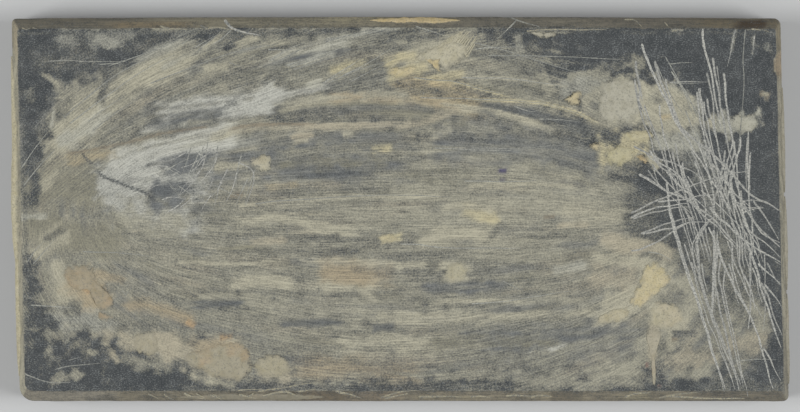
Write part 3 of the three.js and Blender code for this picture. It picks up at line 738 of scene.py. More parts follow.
# Pale dust lies between the knife's strokes where they cross, and less of it towards the edge.
rub(pale, 0.1, 44, (676, 136), (710, 190), (738, 262), soft=0.9, rough=0.7, combing=0.1)
rub(haze, 0.2, 50, (706, 236), (728, 270), (742, 310), soft=0.9, rough=0.7)
rub(None, -0.3, 20, (768, 140), (772, 200), (779, 300), soft=0.7, rough=0.6)
rub(None, -0.1, 12, (684, 200), (686, 236), (682, 268), rough=0.7)
rub(haze, 0.6, 20, (752, 300), (758, 316), (764, 334), soft=0.9)
rub(pale, 0.75, 26, (652, 138), (676, 144), (700, 140), rough=0.9)
rub(pale, 0.7, 14, (716, 116), (724, 128), (728, 142), rough=0.9)
rub(None, -0.35, 26, (640, 176), (654, 196), (650, 226), (654, 246), soft=0.6, rough=0.5)
rub(None, -0.35, 16, (752, 150), (762, 190), (768, 234), soft=0.7, rough=0.5)
rub(None, 0.0, 10, (618, 146), (612, 138), (606, 134), soft=0.7, rough=0.7)
rub(None, -0.1, 12, (614, 66), (622, 60), (630, 56), soft=0.7, rough=0.7)
rub(None, -0.3, 14, (704, 100), (690, 88), (676, 80), soft=0.7, rough=0.7)
rub(None, -0.2, 8, (638, 74), (646, 78), (654, 84), soft=0.7, rough=0.7)

# The front right: the lobes round the yellow dab, its drips, and clean stone beside them.
rub(None, 0.05, 44, (652, 192), (648, 222), (660, 250), soft=0.7, rough=0.7)
wipe(peach, 0.9, 20, (600, 238), (620, 244), (640, 250), comb=0.2)
wipe(peach, 0.9, 14, (632, 246), (652, 248), (672, 256), comb=0.2)
rub(peach, 0.75, 30, (588, 278), (612, 280), (636, 276), comb=0.3)
drag(cream, 0.92, 13, (592, 259), (620, 260), (650, 264), comb=0.3)
wipe(None, 0.3, 9, (560, 290), (590, 288), (616, 290), soft=0.8, comb=0.7)
wipe(cream, 0.93, 34, (657, 262), (652, 286), (634, 298), (606, 312), comb=0.2, rough=0.6)
wipe(cream, 0.95, 22, (650, 312), (668, 318), (688, 322), comb=0.2)
rub(haze, 0.8, 28, (680, 276), (686, 294), (692, 314), rough=0.9)
wipe(peach, 0.85, 14, (654, 322), (650, 346), (652, 360), soft=0.7, comb=0.2)
rub(haze, 0.65, 18, (636, 336), (640, 350), (642, 366), soft=0.9, comb=0.2)
wipe(cream, 0.75, 11, (670, 326), (670, 352), comb=0.4)
rub(peach, 0.7, 20, (664, 362), (690, 358), (716, 352), comb=0.3)
wipe(peach, 0.65, 22, (724, 346), (768, 340), soft=0.8, comb=0.3)
drag(None, 0.08, 7, (672, 334), (694, 333), comb=0.4)
wipe(None, 0.1, 14, (690, 386), (730, 386), (786, 384), soft=0.7)
wipe(brown, 0.9, 5, (671, 339), (677, 339), soft=0.8)
wipe(red, 0.95, 4, (646, 362), (646, 368))
wipe(red, 0.7, 3, (658, 384), (659, 387))

# Later pulls that lie over the others, and a long cut through the white cloud.
rub(haze, 0.72, 26, (112, 214), (150, 222), (190, 228), soft=0.9, comb=0.4, rough=0.9)
rub(white, 0.66, 34, (100, 180), (124, 186), (146, 194), soft=0.9, comb=0.4, rough=1.0)
rub(blue_dark, 0.44, 20, (152, 188), (170, 187), (188, 185), comb=0.2, rough=0.9)
rub(blue_grey, 0.6, 11, (150, 206), (168, 206), (186, 200), soft=0.9, comb=0.2, rough=1.0)
rub(blue_grey, 0.45, 16, (166, 170), (186, 165), (206, 160), comb=0.3, rough=1.0)
rub(white, 0.7, 8, (166, 178), (180, 178), (196, 176), comb=0.3, rough=0.9)
rub(pale, 0.85, 18, (62, 146), (84, 130), (106, 112), soft=0.7, comb=0.4, rough=0.6)
drag(peach, 0.98, 6, (306, 127), (350, 125.5), (404, 124), comb=0.4)
wipe(haze, 0.7, 10, (360, 96), (384, 93), (410, 95), soft=0.7, comb=0.4)
wipe(haze, 0.72, 30, (320, 208), (352, 212), (396, 214), soft=0.8)
wipe(haze, 0.7, 26, (470, 250), (510, 252), (560, 250), soft=0.8)
wipe(cream, 0.75, 24, (560, 212), (590, 214), (620, 216), soft=0.8, comb=0.4)
wipe(haze, 0.5, 14, (220, 318), (250, 322), (280, 322), soft=0.8)
drag(haze, 0.45, 16, (280, 152), (330, 150), (380, 154), soft=0.9, rough=0.9)
drag(olive, 0.55, 14, (282, 164), (330, 162), (384, 164), soft=0.9, rough=0.9)
rub(haze, 0.4, 10, (430, 329), (500, 328), (580, 326), comb=0.6, rough=0.9)
drag(olive, 0.5, 14, (430, 343), (500, 342), (560, 340), soft=0.9, rough=0.9)
drag(haze, 0.4, 16, (440, 358), (500, 357), (570, 354), soft=0.9, rough=0.9)
wipe(cream, 0.9, 14, (592, 322), (612, 312), (634, 298), comb=0.3, rough=0.5)
drag(cream, 0.95, 8, (438, 266), (456, 266), (472, 267), comb=0.3, rough=0.6)
drag(cream, 0.95, 8, (442, 277), (456, 278), (468, 278), comb=0.3, rough=0.6)
rub(None, 0.3, 16, (706, 352), (720, 350), (736, 354), comb=0.2, rough=0.9)
rub(cream, 0.86, 24, (646, 112), (666, 108), (690, 114), rough=0.9)
rub(cream, 0.8, 14, (652, 88), (672, 96), (692, 104), rough=0.9)
rub(cream, 0.75, 12, (640, 124), (664, 126), (684, 126), rough=0.9)
rub(
    yellow, 0.95, 3.5, (468, 99), (510, 101), (544, 104), (576, 113), (597, 124), soft=0.4, comb=0.2,
    rough=0.2,
)
rub(yellow, 0.9, 2.5, (413, 78), (432, 80), (456, 83), (482, 90), (508, 97), soft=0.4, comb=0.2, rough=0.2)
rub(cream, 0.85, 2.5, (461, 78), (510, 79), (540, 83), (566, 87), soft=0.4, comb=0.2, rough=0.2)
drag(cream, 0.85, 3, (440, 104), (470, 107), (506, 113), (540, 124), comb=0.3, rough=0.3)
wipe(cream, 0.92, 12, (432, 230), (460, 232), (488, 236), comb=0.3)
wipe(cream, 0.9, 8, (440, 208), (466, 206), (492, 210), comb=0.4)
wipe(flesh, 0.86, 18, (320, 272), (342, 276), (368, 280), comb=0.3)
wipe(cream, 0.85, 12, (236, 284), (262, 281), (292, 284), comb=0.4)
drag(None, 0.25, 7, (286, 236), (312, 238), (342, 240))
drag(None, 0.25, 8, (292, 251), (322, 251), (352, 256))
wipe(None, 0.3, 10, (404, 270), (430, 276), (446, 284), comb=0.6)
wipe(None, 0.3, 9, (468, 262), (500, 264), (540, 268), comb=0.6)
wipe(None, 0.35, 5, (290, 170), (340, 168), (392, 171), comb=0.8)
wipe(None, 0.35, 5, (300, 206), (350, 203), (410, 204), comb=0.8)
wipe(None, 0.35, 5, (352, 246), (400, 248), (448, 247), comb=0.8)
wipe(None, 0.35, 6, (440, 292), (480, 294), (530, 291), comb=0.8)
drag(cream, 0.9, 4, (430, 302), (470, 300), (520, 301), comb=0.7)
drag(cream, 0.9, 4, (180, 262), (230, 264), (290, 261), comb=0.7)
drag(cream, 0.9, 4, (470, 186), (520, 184), (580, 187), comb=0.7)
wipe(cream, 0.9, 3, (240, 206), (290, 200), (360, 197), (440, 196), soft=0.5)
rub(None, 0.0, 3, (82, 153), (87, 159), (92, 164), soft=0.4, comb=0, rough=0.2)
rub(None, 0.0, 3, (97, 171), (105, 177), (128, 186.5), (144, 192), (156, 202), soft=0.4, comb=0, rough=0.2)

# On the rim, dirt and paint have worked into the tooled bevel and lie thinner down the sides. Each side has
# its own tint, and the back's is darker than the front's as painted shade, for the back bevel faces away
# from the light.
side_steps = {"front": face_columns, "right": face_rows, "back": face_columns, "left": face_rows}
ring_side = np.repeat(list(side_steps), list(side_steps.values()))
point_side = np.concatenate([[""] * face_count, np.tile(ring_side, ring_count - 1), [""]])
rim_paint_and_shade = {
    "front": (tint(119, 113, 97), 0.75),
    "right": (tint(143, 139, 123), 0.85),
    "back": (tint(108, 104, 92), 0.8),
    "left": (tint(152, 148, 130), 0.95),
}
for ring in range(1, ring_count):
    part = slice(face_count + (ring - 1) * ring_length, face_count + ring * ring_length)
    sunk = smooth(len(bevel_climbs) - 1, len(bevel_climbs) + 3, ring)
    inner = smooth(4, 1, ring)
    for side, (paint, cover) in rim_paint_and_shade.items():
        chosen = np.arange(part.start, part.stop)[ring_side == side]
        mottle = ragged(point_x[chosen], point_y[chosen] + 4 * ring, 9, 300)
        fleck = ragged(point_x[chosen], point_y[chosen] + 2 * ring, 2, 310)
        film_colour[chosen] = paint * (1 + 0.16 * mottle + 0.1 * fleck)[:, None]
        cover = cover + 0.25 * mottle + 0.2 * fleck - 0.3 * inner
        film_cover[chosen] = cover * (1 - 0.5 * sunk) - 0.25 * sunk
    film_combing[part] = 0.8


def rim_wash(side, start, stop, shade, share, low=0.0, high=1.0):
    """Tints the bevel along one side between two pixels, and between two shares of its height."""
    place_on_rim = photo_x if side in ("front", "back") else photo_y
    end = 0.2 * (stop - start)
    place_on_rim = place_on_rim + 6 * ragged(point_x, point_y, 4, 340 + start)
    strength = smooth(start - end, start + end, place_on_rim)
    strength = strength * smooth(stop + end, stop - end, place_on_rim)
    climb = (point_z - slab_thickness + bevel_drop) / bevel_drop
    strength = strength * smooth(low - 0.15, low + 0.15, climb) * smooth(high + 0.15, high - 0.15, climb)
    strength = (strength * share * (point_side == side))[:, None]
    film_colour[:] += (tint(*shade) - film_colour) * strength


rim_wash("back", 10, 140, (98, 94, 82), 0.8)
rim_wash("back", 150, 400, (126, 121, 103), 0.8)
rim_wash("back", 320, 450, (146, 140, 116), 0.6, high=0.6)
rim_wash("back", 600, 700, (97, 93, 83), 0.7)
rim_wash("back", 690, 790, (98, 90, 72), 0.8)
rim_wash("back", 734, 764, (58, 44, 26), 0.9, low=0.25)
rim_wash("back", 110, 190, (128, 112, 84), 0.5, low=0.5)
rim_wash("front", 20, 110, (129, 125, 114), 0.7)
rim_wash("front", 270, 300, (128, 118, 98), 0.7)
rim_wash("front", 300, 345, (98, 88, 72), 0.7)
rim_wash("front", 350, 400, (126, 114, 96), 0.5)
rim_wash("front", 540, 580, (99, 93, 80), 0.7)
rim_wash("front", 690, 790, (103, 98, 86), 0.8)
rim_wash("front", 418, 480, (138, 131, 110), 0.6, high=0.7)
rim_wash("front", 530, 552, (138, 131, 110), 0.7)
rim_wash("front", 622, 652, (134, 128, 106), 0.7)
rim_wash("left", 14, 54, (128, 121, 102), 0.7)
rim_wash("left", 24, 62, (160, 150, 126), 0.7, low=0.55)
rim_wash("left", 66, 396, (146, 142, 126), 0.6, low=0.7)
rim_wash("right", 14, 80, (116, 108, 88), 0.8)
rim_wash("right", 340, 402, (118, 114, 102), 0.7)

# The arris between face and bevel is rubbed pale, and just inside it the face is darkened in a line where
# the film's cover drops towards bare slate, most along the back.
grid_row, grid_column = np.divmod(np.arange(face_count), face_columns + 1)
arris_lines = {
    "front": (grid_row, 0.35, 0.5),
    "right": (face_columns - grid_column, 0.25, 0.6),
    "back": (face_rows - grid_row, 0.6, 0.9),
    "left": (grid_column, 0.6, 0.5),
}
for number, (from_edge, worn_share, dark_share) in enumerate(arris_lines.values()):
    fleck = ragged(point_x[:face_count], point_y[:face_count], 5, 320 + number)
    pale_line = np.exp(-((from_edge / 0.9) ** 2)) * worn_share * smooth(-0.6, 0.5, fleck)
    dark_line = np.exp(-(((from_edge - 2.4) / 1.2) ** 2)) * dark_share * smooth(-0.9, 0.1, -fleck)
    film_cover[:face_count] += (0.05 - film_cover[:face_count]) * dark_line
    film_cover[:face_count] += (0.75 - film_cover[:face_count]) * pale_line
    film_colour[:face_count] += (haze * 0.85 - film_colour[:face_count]) * pale_line[:, None]

# The flake's scoop has filled with brown paint, paler towards the face.
stain_brown = tint(146, 133, 112)
stain_pale = tint(158, 152, 134)
stain = smooth(0.02, 0.5, chip_sink) * (0.75 + 0.25 * ragged(point_x, point_y, 2, 350))
stain = stain * smooth(slab_thickness - 6, slab_thickness - 4, point_z)
stain_colour = stain_brown + (stain_pale - stain_brown) * smooth(1.2, 0.3, chip_sink)[:, None]
film_colour += (stain_colour - film_colour) * stain[:, None]
film_cover += (0.9 - film_cover) * stain

slab_slate, tree, shader = new_material("slate")


def attribute(tree, name, output="Fac"):
    """A named value of the mesh, as one of the sockets that read it."""
    return add_node(tree, "ShaderNodeAttribute", attribute_name=name).outputs[output]


def calculate(tree, operation, *values):
    """A Math node on one to three values or sockets."""
    node = add_node(tree, "ShaderNodeMath", operation=operation)
    for slot, value in enumerate(values):
        if isinstance(value, bpy.types.NodeSocket):
            tree.links.new(value, node.inputs[slot])
        else:
            node.inputs[slot].default_value = value
    return node.outputs["Value"]


def ramp(tree, value, low, high, to_low=0.0, to_high=1.0):
    """A value taken smoothly from one range to another."""
    inputs = {"Value": value, "From Min": low, "From Max": high, "To Min": to_low, "To Max": to_high}
    node = add_node(tree, "ShaderNodeMapRange", inputs, interpolation_type="SMOOTHSTEP")
    return node.outputs["Result"]


def evenly(tree, value, low, high):
    """A value taken from one range to 0 to 1 in a straight line, and held there."""
    inputs = {"Value": value, "From Min": low, "From Max": high}
    return add_node(tree, "ShaderNodeMapRange", inputs).outputs["Result"]


def speckle(tree, where, scale, detail=2.0, roughness=0.5):
    """A noise texture's value at a vector."""
    inputs = {"Vector": where, "Scale": scale, "Detail": detail, "Roughness": roughness}
    return add_node(tree, "ShaderNodeTexNoise", inputs).outputs["Fac"]


def roughen(tree, shader, height, strength, distance):
    """Bumps a shader's surface by a height, which is this many metres where it is 1."""
    bump = {"Height": height, "Strength": strength, "Distance": distance}
    bump = add_node(tree, "ShaderNodeBump", bump)
    tree.links.new(bump.outputs["Normal"], shader.inputs["Normal"])


def blended(tree, share, first, second):
    """The mix of two colours or sockets by a share."""
    node = add_node(tree, "ShaderNodeMix", data_type="RGBA")
    for slot, value in ((0, share), (6, first), (7, second)):
        if isinstance(value, bpy.types.NodeSocket):
            tree.links.new(value, node.inputs[slot])
        elif slot:
            node.inputs[slot].default_value = (*value, 1)
        else:
            node.inputs[slot].default_value = value
    return node.outputs[2]


place = add_node(tree, "ShaderNodeTexCoord").outputs["Object"]


def weighed(tree, *parts):
    """The sum of sockets, each centred on 0 by taking 0.5 off and multiplied by its weight."""
    total = None
    for socket, weight in parts:
        part = calculate(tree, "MULTIPLY_ADD", socket, weight, -0.5 * weight)
        total = part if total is None else calculate(tree, "ADD", total, part)
    return total


def streaks(tree, stretch, detail):
    """Streak noise that turns from the swirl's flow to the sweep's, stretched by a vector."""
    values = []
    for flow in ("swirl", "sweep"):
        inputs = {"Vector": attribute(tree, flow, "Vector"), "Scale": stretch}
        scaled = add_node(tree, "ShaderNodeMapping", inputs)
        values.append(speckle(tree, scaled.outputs["Vector"], 1, detail, 0.6))
    node = add_node(tree, "ShaderNodeMix", {0: attribute(tree, "turn")}, data_type="FLOAT")
    tree.links.new(values[0], node.inputs[2])
    tree.links.new(values[1], node.inputs[3])
    return node.outputs[0]


cloud = speckle(tree, place, 60, 3)
level_grain = add_node(tree, "ShaderNodeMapping", {"Vector": place, "Scale": (0.8, 1.2, 1)})
grit = speckle(tree, level_grain.outputs["Vector"], 2000, 3, 0.8)
drift = speckle(tree, place, 330, 2)
grain = speckle(tree, place, 1400, 3, 0.85)
long_streak = streaks(tree, (1, 1, 1), 2)
short_streak = streaks(tree, (5, 1.5, 1), 2)
clump = streaks(tree, (1.6, 0.2, 1), 3)
combing = attribute(tree, "combing")
cover = attribute(tree, "cover")
combed = weighed(tree, (long_streak, 1.0), (short_streak, 1.0), (clump, 0.45))
level = calculate(tree, "MULTIPLY_ADD", combed, combing, cover)
level = calculate(tree, "ADD", level, weighed(tree, (grain, 2.5), (drift, 0.4)))
painted = evenly(tree, level, -0.12, 1.02)
slate_colour = blended(tree, ramp(tree, cloud, 0.35, 0.65), tint(40, 45, 48), tint(48, 52, 54))
specks = calculate(tree, "ADD", grit, weighed(tree, (drift, 0.2)))
slate_colour = blended(tree, ramp(tree, specks, 0.45, 0.85), slate_colour, tint(146, 150, 149))
streak = weighed(tree, (long_streak, 0.6), (short_streak, 0.5))
tone = calculate(tree, "ADD", streak, 1.0)
film = attribute(tree, "film", "Color")
film = add_node(tree, "ShaderNodeHueSaturation", {"Color": film, "Value": tone})
tree.links.new(blended(tree, painted, slate_colour, film.outputs["Color"]), shader.inputs["Base Color"])
tree.links.new(ramp(tree, level, 0.2, 0.8, 0.62, 0.8), shader.inputs["Roughness"])
height = calculate(tree, "MULTIPLY", painted, 0.6)
height = calculate(tree, "ADD", height, calculate(tree, "MULTIPLY", grain, 0.8))
roughen(tree, shader, height, 0.5, 0.00008)


def flow_vectors(flow):
    """A flow in streak lengths and widths, bent a little so that no streak is drawn by machine."""
    along, across = flow
    across = across + 0.8 * noise(along / 23, across / 15, 5)
    return np.stack([along / streak_length, across / streak_width, np.zeros(len(along))], 1)


def set_values(mesh, name, kind, values):
    """Stores a value for each point of a mesh under a name that a material reads."""
    data = mesh.attributes.new(name, kind, "POINT").data
    values = np.asarray(values, dtype=np.float32)
    if kind == "FLOAT_COLOR":
        values = np.concatenate([values, np.ones((len(values), 1), np.float32)], 1)
        data.foreach_set("color", values.ravel())
    elif kind == "FLOAT_VECTOR":
        data.foreach_set("vector", values.ravel())
    else:
        data.foreach_set("value", values)


rim_along = np.tile(np.arange(ring_length) * rim_step, ring_count - 1)
rim_down = np.repeat(np.arange(1, ring_count), ring_length)
swirl = flow_vectors((swirl_along, swirl_across))
sweep = flow_vectors(sweep_flow(point_x, point_y))
sweep[face_count:-1] = np.stack([rim_along / 20, rim_down * 1.3, 0 * rim_along], 1)
outside_swirl = smooth(105, 135, np.abs(swirl_across) / pixel)
turning = outside_swirl * smooth(230, 190, photo_y) * smooth(560, 480, photo_x)
turning[face_count:] = 1  # the rim is all combed along its length

slab_faces = [face for block in slab_quads for face in block] + list(slab_fan)
stone = new_piece("stone", slab_points, slab_faces, slab_slate, smooth_angle=30)
set_values(stone.data, "film", "FLOAT_COLOR", film_colour)
set_values(stone.data, "cover", "FLOAT", film_cover)
set_values(stone.data, "combing", "FLOAT", film_combing)
set_values(stone.data, "swirl", "FLOAT_VECTOR", swirl)
set_values(stone.data, "sweep", "FLOAT_VECTOR", sweep)
set_values(stone.data, "turn", "FLOAT", turning)
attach(stone, "root")
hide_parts("stone_slab")


# The knife's scratches: a bundle of strokes dug through the paint at the right, and finer lines
# elsewhere. Each left a thin burr of pale dust and paint standing along it, which is a separate
# sliver here, let into the face by its lower edge.

bevel_wear = 0.25  # how far the bevel's surface is worn in from its squared outline
burr_height = 0.09
burr_edge_root = 0.03  # how far its two edges are sunk, and below them its root
burr_root = 0.3
bevel_lift = 0.12  # how far the burrs on the bevel stand off what the climb gives
burr_step = 0.6
heavy_width = 1.1
middling_width = 0.8
light_width = 0.6
fine_width = 0.5
knife_dust = tint(182, 181, 172)
fine_dust = tint(164, 164, 153)
rim_width = 0.75
front_run_ends = (62, 119)  # of the run of paint on the front bevel, from the left
front_run_depth = 0.78  # how high it stands, measured upright
last_place = 781  # where strokes end at the right, in pixels
rim_dust = tint(166, 159, 134)
crossed_paint = ("cream_patch_back_right", "yellow_arm", "yellow_patch", "pale_patch_far_right")

heavy_strokes = [
    [(635, 61), (635, 69), (637, 79), (639, 90), (642, 101), (645, 110), (650, 123), (654, 133), (662, 155),
     (668, 170), (675, 185)],
    [(641, 44), (643, 52), (647, 62), (651, 72), (656, 82), (661, 93), (667, 103), (674, 121), (681, 132),
     (688, 141), (693, 152), (700, 162), (707, 174), (712, 183), (719, 192), (724, 201), (730, 210)],
    [(654, 61), (656, 69), (658, 77), (661, 85), (665, 95), (674, 117), (682, 130), (696, 142), (702, 152),
     (708, 160), (716, 170), (726, 182), (734, 194), (741, 201), (748, 214), (756, 226), (763, 233),
     (772, 241), (782, 250)],
    [(702, 29), (702, 37), (703, 46), (705, 55), (708, 66), (711, 77), (713, 92), (715, 103), (717, 112),
     (720, 130)],
    [(712, 58), (713, 66), (714, 75), (716, 85), (718, 95), (719, 106), (722, 117), (724, 130), (726, 141),
     (728, 152), (731, 162), (733, 172), (735, 182), (738, 193), (740, 206), (742, 217), (744, 228)],
    [(723, 73), (724, 83), (724, 92), (725, 103), (727, 114), (728, 123), (730, 131), (732, 141), (734, 151),
     (735, 161), (736, 171), (737, 183), (739, 197), (741, 208), (744, 219), (748, 230), (750, 241),
     (751, 258)],
    [(699, 88), (699, 96), (701, 107), (702, 119), (704, 131), (707, 140), (712, 156), (716, 170)],
    [(638, 174), (647, 179), (656, 185), (667, 192), (678, 196), (686, 199), (694, 206), (706, 214),
     (714, 221), (722, 230), (729, 238), (738, 247)],
    [(666, 182), (667, 192), (668, 202), (669, 211), (672, 221), (674, 230), (678, 242), (681, 254),
     (686, 269), (692, 287), (698, 304), (702, 318), (707, 333), (711, 349), (717, 366), (721, 378),
     (724, 390)],
    [(710, 219), (704, 226), (699, 234), (695, 243), (696, 252), (697, 262), (698, 277), (701, 288),
     (704, 299), (708, 310), (712, 322), (718, 334), (723, 349), (729, 362), (733, 372), (738, 387)],
    [(713, 230), (713, 241), (713, 258), (712, 264), (712, 282), (711, 307), (711, 314)],
    [(717, 240), (715, 263), (713, 280), (716, 293), (719, 309), (722, 322), (726, 338), (729, 353),
     (732, 367), (736, 380), (738, 391)],
    [(716, 241), (718, 252), (722, 263), (728, 276), (734, 289), (741, 301), (748, 313), (753, 326),
     (758, 338), (761, 351), (766, 367), (769, 380), (772, 389)],
    [(749, 250), (749, 262), (749, 277), (749, 293), (749, 307), (748, 320), (747, 329)],
    [(745, 240), (753, 263), (757, 274), (759, 287), (763, 298), (767, 308), (770, 319), (774, 332),
     (780, 348)],
    [(696, 142), (701, 146), (708, 150), (714, 157), (721, 163), (728, 171), (734, 178), (741, 186),
     (749, 194), (758, 200), (768, 204), (780, 212)],
    [(708, 207), (718, 218), (726, 224), (733, 232), (741, 239), (748, 244), (758, 250), (769, 256),
     (782, 264)], [(730, 222), (738, 238), (738, 261), (741, 272), (744, 284), (747, 293)],
    [(224, 20), (228, 25), (233, 29), (246, 33), (261, 36)],
]
middling_strokes = [
    [(634, 79), (635, 89), (637, 101), (640, 112), (643, 123), (648, 133), (651, 142), (653, 152),
     (657, 160), (661, 169), (662, 174)],
    [(665, 79), (666, 87), (669, 96), (672, 107), (676, 117), (680, 126), (687, 133), (693, 139),
     (700, 148)], [(706, 73), (710, 91), (712, 103), (713, 120), (716, 140), (720, 160), (724, 172)],
    [(696, 92), (697, 101), (698, 109), (699, 121), (702, 132), (704, 140), (708, 152), (712, 170)],
    [(706, 99), (707, 107), (709, 115), (712, 123), (713, 132), (716, 141), (718, 151), (720, 161),
     (724, 172), (727, 183), (729, 192), (732, 203), (737, 214), (741, 226), (746, 237), (748, 250)],
    [(703, 102), (704, 112), (707, 122), (708, 132), (710, 142), (714, 158), (718, 176)],
    [(659, 105), (659, 114), (661, 125), (663, 136), (667, 147), (670, 158), (673, 169), (677, 179),
     (679, 190)],
    [(633, 146), (640, 150), (650, 155), (659, 159), (671, 162), (679, 166), (687, 169), (693, 172),
     (702, 180)],
    [(649, 150), (653, 157), (660, 164), (668, 168), (677, 174), (682, 181), (688, 190), (692, 197),
     (697, 208)],
    [(651, 164), (656, 171), (662, 178), (668, 184), (676, 192), (682, 197), (692, 205), (700, 214)],
    [(653, 168), (654, 174), (657, 183)],
    [(630, 213), (639, 209), (648, 204), (657, 200), (668, 196), (678, 191), (686, 188), (694, 184),
     (706, 180), (719, 178), (729, 174), (741, 172), (748, 171)],
    [(630, 218), (637, 214), (647, 210), (657, 207), (668, 206), (679, 204), (688, 203)],
    [(632, 219), (643, 215), (652, 212), (661, 211), (672, 208), (683, 207), (691, 207)],
    [(657, 202), (666, 201), (674, 200), (686, 199), (697, 196), (710, 195), (721, 195)],
    [(640, 234), (647, 231), (654, 228), (663, 224), (672, 222), (681, 219), (690, 218), (694, 216)],
    [(641, 234), (652, 232), (663, 229), (674, 228), (683, 224), (692, 222), (706, 222)],
    [(630, 251), (638, 250), (647, 246), (658, 241), (668, 234), (677, 228), (688, 222), (694, 219)],
    [(674, 143), (676, 154), (678, 164), (681, 174), (684, 184), (688, 194), (692, 207), (696, 218),
     (699, 230), (703, 242), (707, 254), (709, 263)],
    [(681, 162), (683, 174), (687, 183), (691, 194), (697, 206), (704, 220)],
    [(682, 207), (687, 216), (690, 228), (693, 239)],
    [(697, 144), (702, 156), (706, 167), (708, 177), (711, 188), (713, 201), (713, 214), (713, 230)],
    [(702, 140), (707, 149), (710, 159), (713, 172), (717, 183), (722, 196), (728, 210)],
    [(739, 137), (739, 147), (736, 157), (733, 167), (731, 176), (729, 186), (727, 200), (728, 214)],
    [(746, 137), (746, 152), (745, 167), (745, 180), (746, 190)],
    [(746, 158), (747, 169), (748, 183), (748, 197), (749, 210), (751, 219), (752, 240), (754, 256)],
    [(726, 159), (726, 169), (724, 180), (726, 192), (728, 206), (730, 219), (734, 230), (736, 241),
     (737, 258), (739, 268)],
    [(678, 196), (688, 201), (697, 210), (707, 219), (717, 227), (724, 236), (732, 244), (740, 256)],
    [(736, 202), (748, 214), (756, 226), (761, 233), (770, 238), (780, 243)],
    [(752, 201), (759, 210), (766, 220), (773, 231), (778, 240)],
    [(744, 226), (754, 236), (763, 242), (772, 250), (782, 260)],
    [(701, 230), (703, 242), (706, 253), (708, 263)], [(741, 201), (751, 200), (761, 202)],
    [(738, 206), (750, 208), (762, 207)], [(742, 212), (754, 209), (763, 208)],
    [(766, 262), (770, 270), (774, 279), (781, 287)], [(757, 263), (764, 270), (771, 276), (780, 284)],
    [(760, 282), (767, 296), (770, 307), (774, 320), (782, 338)],
    [(763, 283), (770, 292), (777, 301), (782, 310)], [(774, 261), (782, 266)],
    [(762, 347), (768, 357), (773, 369), (780, 381)], [(743, 274), (748, 286), (752, 298), (754, 310)],
    [(728, 263), (731, 274), (733, 287), (738, 304)], [(701, 263), (703, 280), (707, 292)],
    [(740, 190), (741, 206), (742, 222), (741, 241)],
    [(716, 167), (722, 178), (730, 190), (736, 204), (741, 216), (748, 232), (757, 246), (762, 262)],
    [(724, 150), (722, 166), (718, 182), (714, 198), (710, 212)],
    [(707, 227), (712, 237), (716, 244), (719, 252)],
]
light_strokes = [
    [(683, 244), (686, 252), (691, 267), (694, 276), (699, 290)], [(690, 262), (694, 272), (697, 280)],
    [(754, 236), (758, 246), (758, 253), (757, 259)],
    [(734, 30), (732, 38), (730, 50), (728, 60), (726, 68)], [(753, 36), (752, 46), (751, 56)],
    [(669, 83), (684, 82), (708, 82)], [(640, 88), (638, 100), (643, 112), (650, 130), (655, 142)],
    [(716, 66), (718, 80), (720, 94)], [(698, 174), (706, 190), (712, 206), (716, 222)],
    [(690, 150), (698, 166), (704, 184), (708, 200)], [(728, 186), (736, 196), (746, 204), (754, 212)],
    [(720, 196), (728, 212), (734, 228), (740, 240), (748, 258)], [(726, 241), (730, 252), (734, 262)],
    [(730, 180), (732, 196), (736, 212), (742, 232), (746, 250)],
    [(700, 190), (716, 204), (732, 220), (748, 236)], [(687, 176), (697, 192), (706, 204)],
    [(238, 162), (251, 169), (254, 179), (251, 191), (245, 206)],
    [(203, 150), (211, 149), (217, 152), (216, 160), (212, 168), (206, 176), (200, 182)],
    [(228, 169), (225, 175), (220, 184), (217, 196), (214, 206)],
    [(237, 172), (235, 180), (231, 192), (226, 202)], [(213, 178), (210, 186), (206, 193), (201, 202)],
    [(203, 181), (206, 186), (210, 191)], [(222, 182), (217, 190), (211, 197)],
    [(212, 194), (206, 202), (200, 212)], [(204, 158), (198, 166), (190, 172), (184, 176)],
    [(210, 152), (202, 158), (192, 164), (180, 168)], [(196, 152), (204, 158), (202, 168), (194, 180)],
    [(200, 170), (194, 180), (186, 190), (178, 196)], [(162, 200), (172, 197), (186, 199)],
    [(192, 178), (184, 186), (180, 194)], [(186, 152), (176, 158), (166, 162)],
    [(178, 172), (168, 178), (156, 182)], [(150, 168), (160, 166), (172, 168), (182, 174)],
    [(180, 208), (190, 200), (198, 190)], [(168, 212), (178, 206), (186, 198)],
    [(148, 190), (156, 186), (166, 184)],
]
